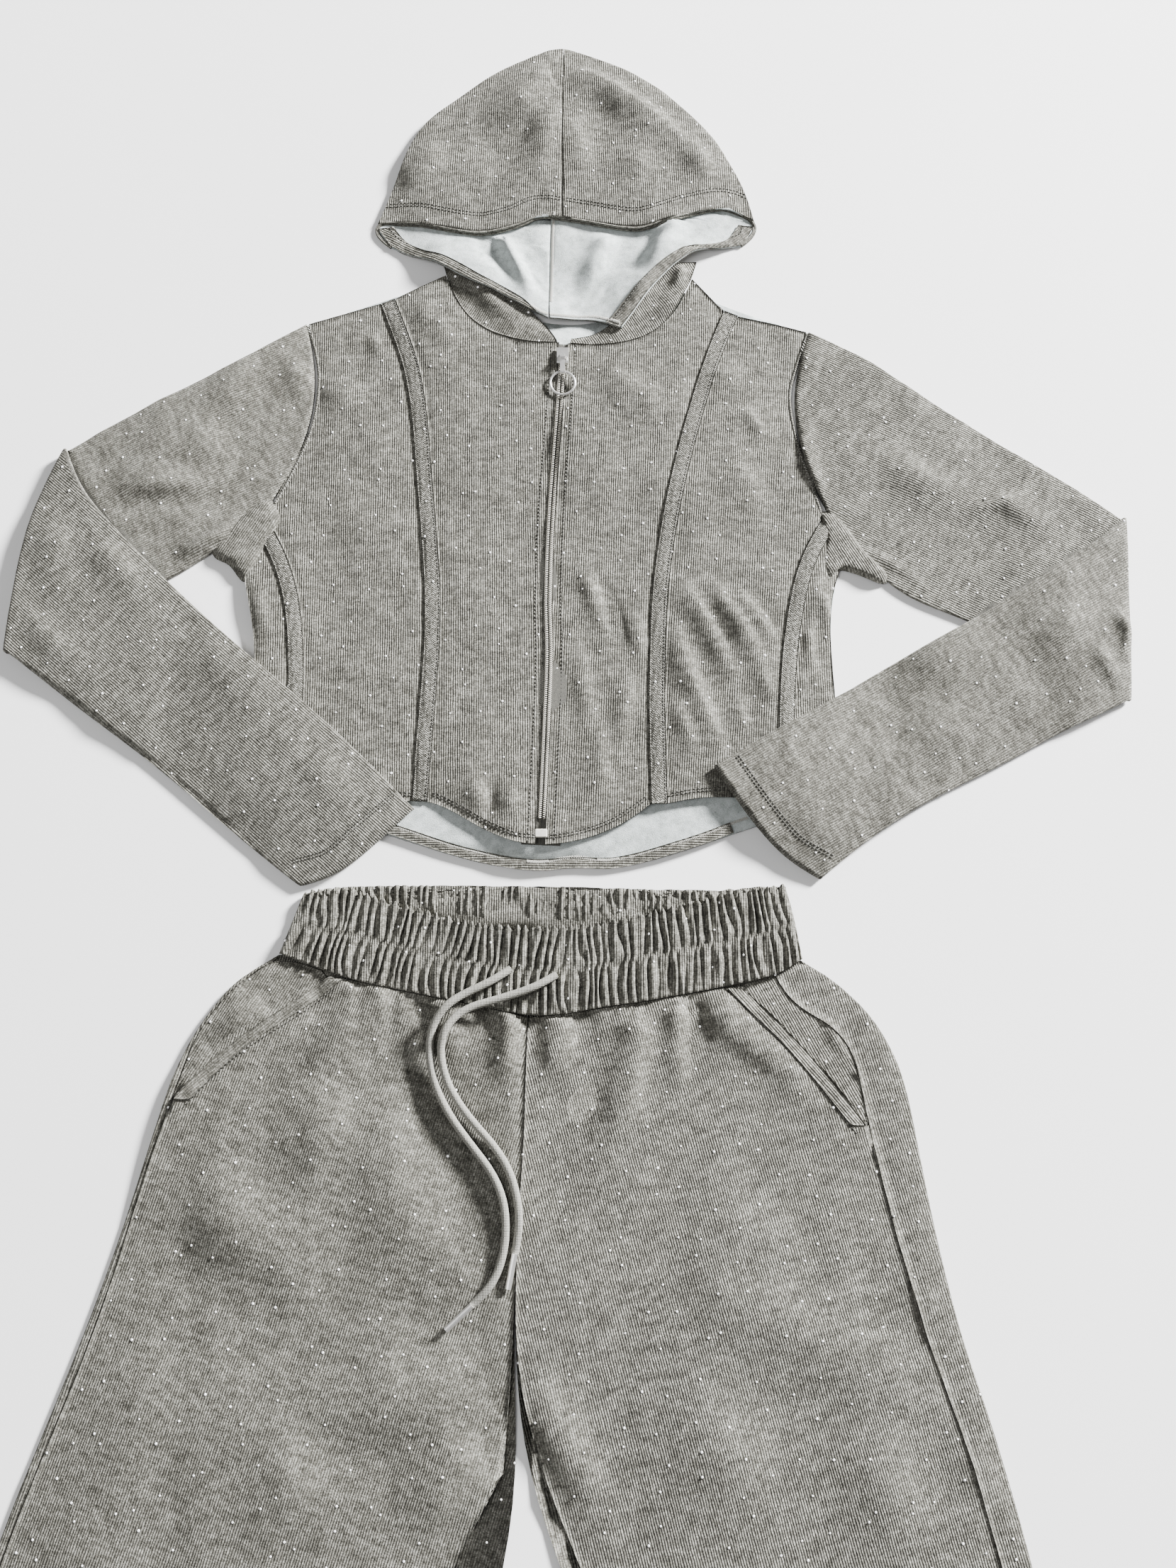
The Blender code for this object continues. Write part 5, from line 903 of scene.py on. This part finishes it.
class Bits:
    """Many small forms in one mesh."""

    def __init__(self):
        self.points, self.faces, self.grain = [], [], []

    def stitch(self, start, end, radius=THREAD):
        """A short thread, sunk at both ends."""
        start, end = Vector(start), Vector(end)
        way = (end - start).normalized()
        side = way.cross(Vector((0.0, 0.0, 1.0))).normalized() * radius
        up = Vector((0.0, 0.0, radius))
        base = len(self.points)
        self.points.append(start - up * 0.6)
        for share in (0.22, 0.78):
            middle = start.lerp(end, share) + up * 0.5
            self.points += [middle + side, middle + up, middle - side, middle - up]
        self.points.append(end - up * 0.6)
        for j in range(4):
            k = (j + 1) % 4
            self.faces += [(base, base + 1 + j, base + 1 + k),
                           (base + 1 + j, base + 5 + j, base + 5 + k, base + 1 + k),
                           (base + 9, base + 5 + k, base + 5 + j)]

    def stone(self, place, normal, radius):
        """A flat-topped, faceted dome."""
        side = normal.cross(Vector((0.31, 0.95, 0.0))).normalized()
        other = normal.cross(side)
        base = len(self.points)
        for share, rise in ((1.0, -0.1), (1.0, 0.2), (0.55, 0.62)):
            for j in range(6):
                a = math.pi * j / 3
                rim = side * math.cos(a) + other * math.sin(a)
                self.points.append(place + rim * radius * share + normal * radius * rise)
        for row in (0, 6):
            for j in range(6):
                k = (j + 1) % 6
                self.faces.append((base + row + j, base + row + k, base + row + 6 + k, base + row + 6 + j))
        self.faces.append(tuple(base + 12 + j for j in range(6)))

    def disc(self, place, normal, radius):
        """A flat disc just above the surface."""
        side = normal.cross(Vector((0.31, 0.95, 0.0))).normalized()
        other = normal.cross(side)
        base = len(self.points)
        for j in range(8):
            a = math.pi * j / 4
            self.points.append(place + (side * math.cos(a) + other * math.sin(a)) * radius + normal * 0.0001)
        self.faces.append(tuple(base + j for j in range(8)))

    def make(self, name, material, slot, smooth_shade=False):
        data = bpy.data.meshes.new(name)
        data.from_pydata([tuple(p) for p in self.points], [], self.faces)
        data.update()
        data.materials.append(material)
        if smooth_shade:
            data.shade_smooth()
        if len(self.grain):
            layer = data.attributes.new("grain", "FLOAT_VECTOR", "POINT")
            layer.data.foreach_set("vector", np.array(self.grain, dtype=np.float32).ravel())
        piece = bpy.data.objects.new(name, data)
        bpy.context.scene.collection.objects.link(piece)
        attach(piece, BODY)
        return piece


# Rows of stitches: part of the nodes' names, line, offsets in millimetres to its left, pitch in millimetres
PLAIN_ROWS = (
    ("centre_front_left", ZIP_LINE, (-9.2,), 3.0),
    ("centre_front_right", ZIP_LINE, (9.8,), 3.0),
    ("centre_front_left", HEM_LEFT, (4.5, 6.5), 3.0),
    ("centre_front_right", HEM_RIGHT, (4.5, 6.5), 3.0),
    ("side_front_left", SIDE_HEM_LEFT, (4.5, 6.5), 3.0),
    ("side_front_right", SIDE_HEM_RIGHT, (4.5, 6.5), 3.0),
    ("princess_channel_left", PRINCESS_LEFT, (-1.5,), 2.6),
    ("princess_channel_right", PRINCESS_RIGHT, (9.9,), 2.6),
    ("side_channel_left", SIDE_LEFT, (1.5,), 2.6),
    ("side_channel_right", SIDE_RIGHT, (-1.5,), 2.6),
    ("_left", POCKET_LEFT, (10.6,), 3.0),
    ("_right", POCKET_RIGHT, (-10.6,), 3.0),
    ("hood_left", MOUTH_LEFT, (14.5, 17.0), 2.8),
    ("hood_right", MOUTH_RIGHT, (14.5, 17.0), 2.8),
    ("hood_hem_left", RIM_LEFT, (9.5,), 2.8),
    ("hood_hem_right", RIM_RIGHT, (-9.5,), 2.8),
    ("sleeve_left", CUFF_LEFT, (-17.0, -19.2), 2.8),
    ("sleeve_right", CUFF_RIGHT, (17.0, 19.2), 2.8),
)
# Overlocked edges: part of the node's name, line, offset in millimetres, width in millimetres
LOCKED_ROWS = (
    ("jacket_back", HEM_BACK, 7.6, 3.0),
    ("hood", HOOD_INSIDE_SEAM, 1.8, 3.2),
    ("hood", HOOD_BACK_EDGE, 2.4, 3.4),
)
# Slanted stitches across a seam: line, width in millimetres, pitch in millimetres
SEAM_ROWS = ((ARMHOLE_LEFT, 2.4, 2.4), (ARMHOLE_RIGHT, 2.4, 2.4))


def sew(surface, thread, pale):
    plain, locked = Bits(), Bits()
    for nodes, table, offsets, pitch in PLAIN_ROWS:
        for offset in offsets:
            line = shifted(resample(plan(table), 60), offset * MM)
            line = resample(line, int(length_of(line) / (pitch * MM)) + 1)
            for one, two in zip(line, line[1:]):
                ends = [surface.below(*(one + (two - one) * share)) for share in (0.06, 0.94)]
                if all(nodes in end[2] for end in ends) and abs(ends[0][0].z - ends[1][0].z) < 1.5 * MM:
                    plain.stitch(ends[0][0], ends[1][0])
    for nodes, table, offset, width in LOCKED_ROWS:
        line = resample(plan(table), 80)
        line = resample(line, int(length_of(line) / 0.0013))
        near = shifted(line, (offset - width / 2) * MM)
        far = shifted(line, (offset + width / 2) * MM)
        for k in range(len(line) - 1):
            for one, two in ((near[k], far[k]), (far[k], near[k + 1])):
                ends = [surface.below(*one), surface.below(*two)]
                if all(nodes in end[2] for end in ends) and abs(ends[0][0].z - ends[1][0].z) < 1.5 * MM:
                    locked.stitch(ends[0][0], ends[1][0], THREAD * 0.85)
    for table, width, pitch in SEAM_ROWS:
        line = plan(table)
        line = resample(line, int(length_of(line) / (pitch * MM)))
        near, far = shifted(line, -width / 2 * MM), shifted(line, width / 2 * MM)
        for one, two in zip(near, far[1:]):
            ends = [surface.below(*one), surface.below(*two)]
            if ends[0][0] is not None and ends[1][0] is not None:
                locked.stitch(ends[0][0], ends[1][0])
    plain.make("topstitching", thread, "knit", True)
    locked.make("overlocking", pale, "knit", True)


def set_stones(surface, crystal_painted_glint, stone_rim_shade):
    """Small stones spread unevenly over the outer side of the cloth."""
    rng = random.Random(7)
    bits, rim_shades = Bits(), Bits()
    low, high = CAD_BOX
    y = low[1]
    row = 0
    while y < high[1]:
        x = low[0] + (row % 2) * STONE_SPACING / 2
        while x < high[0]:
            px = x + rng.uniform(-0.42, 0.42) * STONE_SPACING
            py = y + rng.uniform(-0.42, 0.42) * STONE_SPACING
            size = STONE_RADIUS * rng.uniform(0.8, 1.15)
            place, normal, node, finish = surface.below(px, py)
            if place is not None and finish == 0 and normal.z > 0.5 and "hem" not in node:
                bits.stone(place, normal, size)
                # A dark disc a little wider than the stone paints the shade of its recess: painted shade.
                rim_shades.disc(place, normal, 1.4 * size)
            x += STONE_SPACING
        y += STONE_SPACING * 0.87
        row += 1
    bits.make("stones", crystal_painted_glint, "knit")
    rim_shades.make("stone_rim_shades", stone_rim_shade, "knit")
    return len(bits.points) // 18


def tube(bits, path, radius, sides):
    """Add a closed tube along a path of points."""
    path = [Vector(p) for p in path]
    base = len(bits.points)
    run = 0.0
    for i, point in enumerate(path):
        run += (point - path[max(i - 1, 0)]).length
        way = (path[min(i + 1, len(path) - 1)] - path[max(i - 1, 0)]).normalized()
        side = way.cross(Vector((0.0, 0.0, 1.0)))
        side = side.normalized() if side.length > 1e-6 else Vector((1.0, 0.0, 0.0))
        up = side.cross(way)
        for j in range(sides):
            a = 2 * math.pi * j / sides
            bits.points.append(point + (side * math.cos(a) + up * math.sin(a)) * radius)
            bits.grain.append((a * radius, run, 0.0))
    for i in range(len(path) - 1):
        for j in range(sides):
            k = (j + 1) % sides
            one, two = base + i * sides, base + (i + 1) * sides
            bits.faces.append((one + j, one + k, two + k, two + j))
    last = base + (len(path) - 1) * sides
    bits.faces.append(tuple(base + j for j in reversed(range(sides))))
    bits.faces.append(tuple(last + j for j in range(sides)))


def build_armhole_seams(surface, knit):
    """The seam that joins each sleeve: a low cord of cloth; sew lays its slanted stitches across it."""
    for name, table in (("armhole_seam_left", ARMHOLE_LEFT), ("armhole_seam_right", ARMHOLE_RIGHT)):
        line = resample(plan(table), 90)
        heights = []
        for x, y in line:
            near = [surface.below(x + dx, y)[0] for dx in (-0.003, 0.003)]
            heights.append(min(p.z for p in near if p is not None))
        heights = np.convolve(np.pad(heights, 4, mode="edge"), np.ones(9) / 9, mode="valid")
        bits = Bits()
        tube(bits, np.column_stack([line, heights - 0.0009]), 0.0012, 8)
        bits.make(name, knit, "knit", True)


# The rolled edge of the hood's mouth, from the left corner round both corners
MOUTH_ROLL_LEFT = ((-15.6, 43.9), (-16.4, 44.6), (-16.9, 45.3), (-16.8, 46.0), (-16.2, 46.25))
MOUTH_ROLL_RIGHT = ((12.7, 46.75), (13.2, 46.3), (13.4, 45.6), (12.9, 44.7), (12.1, 44.1))


# The cloth at the underarms that rolls over from the back, as outlines
UNDERARM_LEFT = ((-24.2, 22.4), (-25.5, 21.6), (-27.1, 20.1), (-28.4, 18.9), (-28.2, 17.6),
                (-27.0, 16.9), (-25.9, 15.6), (-25.1, 16.4), (-24.3, 18.4), (-23.2, 20.7))
UNDERARM_RIGHT = ((17.9, 19.1), (17.5, 16.9), (18.0, 15.7), (18.9, 16.5), (20.2, 16.2), (22.1, 15.4),
                (22.5, 16.2), (21.0, 17.9), (19.9, 19.6), (18.7, 21.1), (17.6, 21.1))


def build_underarms(knit):
    """The rolls that join each sleeve's lower edge to the top of the side."""
    for name, table, way in (("left", UNDERARM_LEFT, 60), ("right", UNDERARM_RIGHT, 120)):
        outline = plan(table + table[:1], 4)[:-1]
        middle = outline.mean(axis=0)
        rings = [middle + (outline - middle) * share for share in (1.0, 0.93, 0.84, 0.7, 0.45, 0.2)]
        bits = Bits()
        for ring, height in zip(rings, (0.0016, 0.0042, 0.0056, 0.0064, 0.0067, 0.0068)):
            rise = height + 0.0012 * noise_at(ring * 90, 2.9)
            bits.points += np.column_stack([ring, rise]).tolist()
        count = len(outline)
        bits.points.append((middle[0], middle[1], 0.0068))
        for level in range(len(rings) - 1):
            for i in range(count):
                j = (i + 1) % count
                low, high = level * count, (level + 1) * count
                bits.faces.append((low + i, low + j, high + j, high + i))
        last = (len(rings) - 1) * count
        bits.faces += [(last + i, last + (i + 1) % count, len(bits.points) - 1) for i in range(count)]
        flat = np.array(bits.points)
        bits.grain = np.column_stack([turned(flat[:, :2], way), flat[:, 2]])
        piece = bits.make("underarm_" + name, knit, "knit", True)
        declare(piece)


def build_mouth_roll(surface, knit):
    """The folded hem of the mouth, whose thickness shows along the edge."""
    path = np.concatenate([plan(MOUTH_ROLL_LEFT), plan(MOUTH_LEFT)[5:-1], plan(MOUTH_RIGHT)[1:-5],
                           plan(MOUTH_ROLL_RIGHT)])
    path = resample(path, 260)
    path = np.column_stack([np.convolve(np.pad(path[:, k], 3, mode="edge"), np.ones(7) / 7, mode="valid")
                            for k in (0, 1)])
    heights = []
    for x, y in path:
        near = [surface.below(x, y + d)[0] for d in (0.0, 0.0015, 0.003)]
        known = [p.z for p in near if p is not None]
        heights.append(max(known) if known else np.nan)
    heights = np.array(heights)
    known = ~np.isnan(heights)
    heights = np.interp(np.arange(len(path)), np.nonzero(known)[0], heights[known])
    heights = np.convolve(np.pad(heights, 5, mode="edge"), np.ones(11) / 11, mode="valid")
    bits = Bits()
    tube(bits, np.column_stack([path, np.maximum(heights - 0.0011, 0.0012)]), 0.0011, 8)
    low = np.maximum(heights - 0.0026, 0.0011)
    tube(bits, np.column_stack([shifted(path, -0.0012), low]), 0.0010, 8)
    bits.make("hood_mouth_roll", knit, "knit", True)


COIL_PITCH = 0.0015
COIL_WIRE = 0.00034
COIL_STEPS = 8


def build_coil(nylon):
    """Two rows of coil, side by side along the zip."""
    solid = NODES["zip_coil"]
    ys = [(solid.matrix_world @ v.co).y for v in solid.data.vertices]
    zs = [(solid.matrix_world @ v.co).z for v in solid.data.vertices]
    middle, half = (max(zs) + min(zs)) / 2, (max(zs) - min(zs)) / 2 - COIL_WIRE
    line = plan(ZIP_LINE)
    line = line[(line[:, 1] < max(ys)) & (line[:, 1] > min(ys))]
    turns = int(length_of(line) / COIL_PITCH)
    line = resample(line, turns * COIL_STEPS)
    bits = Bits()
    for sign in (-1, 1):
        angle = np.arange(len(line)) * 2 * math.pi / COIL_STEPS + (0 if sign > 0 else math.pi)
        near, far = shifted(line, sign * 0.0007), shifted(line, sign * 0.0026)
        mix = (0.5 + 0.5 * np.cos(angle))[:, None]
        row = near * mix + far * (1 - mix)
        tube(bits, np.column_stack([row, middle + half * np.sin(angle)]), COIL_WIRE, 4)
    piece = bits.make("zip_coil_teeth", nylon, "zip_coil", True)
    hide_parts("zip_coil")


def build_back_gathers(knit):
    """The gathered inner side of the waistband's back, which shows above the front."""
    columns, rows = GATHERS * 12, 14
    top = resample(plan(BAND_TOP_BACK), columns)
    low = resample(plan(BAND_TOP_FRONT), columns)
    low = low - np.array((0.0, 0.006))
    share = np.linspace(0.0, 1.0, rows)[:, None, None]
    grid = top[None] * (1 - share) + low[None] * share
    flat = grid.reshape(-1, 2)
    across = np.tile(np.linspace(0, 1, columns), rows)
    down = np.repeat(np.linspace(0, 1, rows), columns)
    wander = 0.5 * noise_at(np.column_stack([across * 30, down * 1.2]), 12.2)
    wander += 0.5 * noise_at(np.column_stack([across * 70, down * 2]), 8.8)
    ridge = np.abs(np.cos(math.pi * (across * GATHERS + wander))) ** 0.8
    ridge *= 1.0 + noise_at(np.column_stack([across * 45, down * 2]), 5.4)
    fade = step01((1 - down) / 0.5) * step01(np.minimum(across, 1 - across) / 0.04)
    heights = BACK_INNER + 0.0046 * ridge * fade - 0.0008 * (1 - step01(down / 0.1))
    points = np.column_stack([flat, heights])
    faces = [(r * columns + c, (r + 1) * columns + c, (r + 1) * columns + c + 1, r * columns + c + 1)
             for r in range(rows - 1) for c in range(columns - 1)]
    bits = Bits()
    bits.points, bits.faces = points.tolist(), faces
    bits.grain = np.column_stack([turned(flat, 90), heights])
    piece = bits.make("waistband_back_gathers", knit, "knit", True)
    declare(piece)


BACK_INNER = 0.0028               # height of the inner side of the waistband's back


def cord_rise(line):
    """How far the folds under a cord lift it: the cord spans what is narrow."""
    field = np.where(line[:, 1] < height_on(BAND_LOW_FRONT, line[:, 0]) - 0.001,
                     np.maximum(field_at(line, LEGS), 0.0), 1.4 * GATHER_DEPTH)
    wide = np.convolve(np.pad(field, 2, mode="edge"), np.ones(5) / 5, mode="valid")
    return np.maximum(wide, field) * step01((len(line) - 1 - np.arange(len(line))) / 3)


def build_cords(braid):
    """The two drawcord ends, on the lines of their solids; their aglets stay the model's own solids."""
    for letter, table in (("a", CORD_A), ("b", CORD_B)):
        solid = NODES["drawcord_" + letter]
        tree = BVHTree.FromPolygons([v.co for v in solid.data.vertices],
                                    [p.vertices[:] for p in solid.data.polygons])
        line = plan(table)
        line = resample(line, int(length_of(line) / CORD_STEP))
        hits = [tree.ray_cast(Vector((x, y, 0.1)), DOWN)[0] for x, y in line]
        known = [i for i, hit in enumerate(hits) if hit is not None]
        tops = np.interp(np.arange(len(line)), known, [hits[i].z for i in known])
        tops += cord_rise(line)
        path = np.column_stack([line, tops - CORD_RADIUS])
        data = bpy.data.curves.new("cord_" + letter, "CURVE")
        data.dimensions = "3D"
        spline = data.splines.new("NURBS")
        spline.points.add(len(path) - 1)
        for point, place in zip(spline.points, path):
            point.co = (*place, 1.0)
        spline.use_endpoint_u = True
        spline.order_u = 3
        data.resolution_u = 6
        data.bevel_depth = CORD_RADIUS
        data.bevel_resolution = 5
        data.use_fill_caps = True
        data.materials.append(braid)
        cord = bpy.data.objects.new("cord_" + letter, data)
        bpy.context.scene.collection.objects.link(cord)
        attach(cord, BODY)
        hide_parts("drawcord_" + letter)


def main():
    make_camera()
    build_cords(cord_material())
    make_studio()
    knit = knit_material()
    strip = strip_material()
    cloths = build_cloth(knit, strip, fleece_material())
    surface = Surface(cloths)
    build_armhole_seams(surface, strip)
    build_mouth_roll(surface, knit)
    build_underarms(knit)
    # The topstitching thread is made near black so that each row reads as the shaded groove it lies in: painted
    # shade.
    sew(surface, plain_material("thread", (0.035, 0.034, 0.029), 0.7, 2500.0),
        plain_material("pale_thread", (0.40, 0.393, 0.36), 0.7, 2500.0))
    build_back_gathers(knit)
    # The stones glow a little through emission, which paints the sparkle of their facets: painted highlight.
    crystal_painted_glint = plain_material("crystal_painted_glint", (0.95, 0.95, 0.94), 0.12, 300.0, 0.04)
    crystal_painted_glint.node_tree.nodes["Principled BSDF"].inputs["Emission Color"].default_value = (1.0, 1.0, 1.0, 1.0)
    crystal_painted_glint.node_tree.nodes["Principled BSDF"].inputs["Emission Strength"].default_value = 0.45
    # The dark discs under the stones stand for the shade round each stone: painted shade.
    print("stones:", set_stones(surface, crystal_painted_glint, plain_material("stone_rim_shade", (0.06, 0.058, 0.05), 0.5)))
    nylon = plain_material("coil_nylon", (0.60, 0.58, 0.52), 0.35)
    build_coil(nylon)
    metal = metal_material()
    # The tape's dark colour is partly its own and partly the shade each side of the coil: painted shade.
    tape = plain_material("tape_and_painted_shade", (0.07, 0.068, 0.058), 0.8, 1800.0, 0.4)
    for name, material in (("zip_tape_left", tape), ("zip_tape_right", tape), ("zip_stop", nylon),
                           ("slider", metal), ("pull_link", metal), ("pull_ring", metal),
                           ("aglet_a", metal), ("aglet_b", metal)):
        NODES[name].data.materials.clear()
        NODES[name].data.materials.append(material)


main()
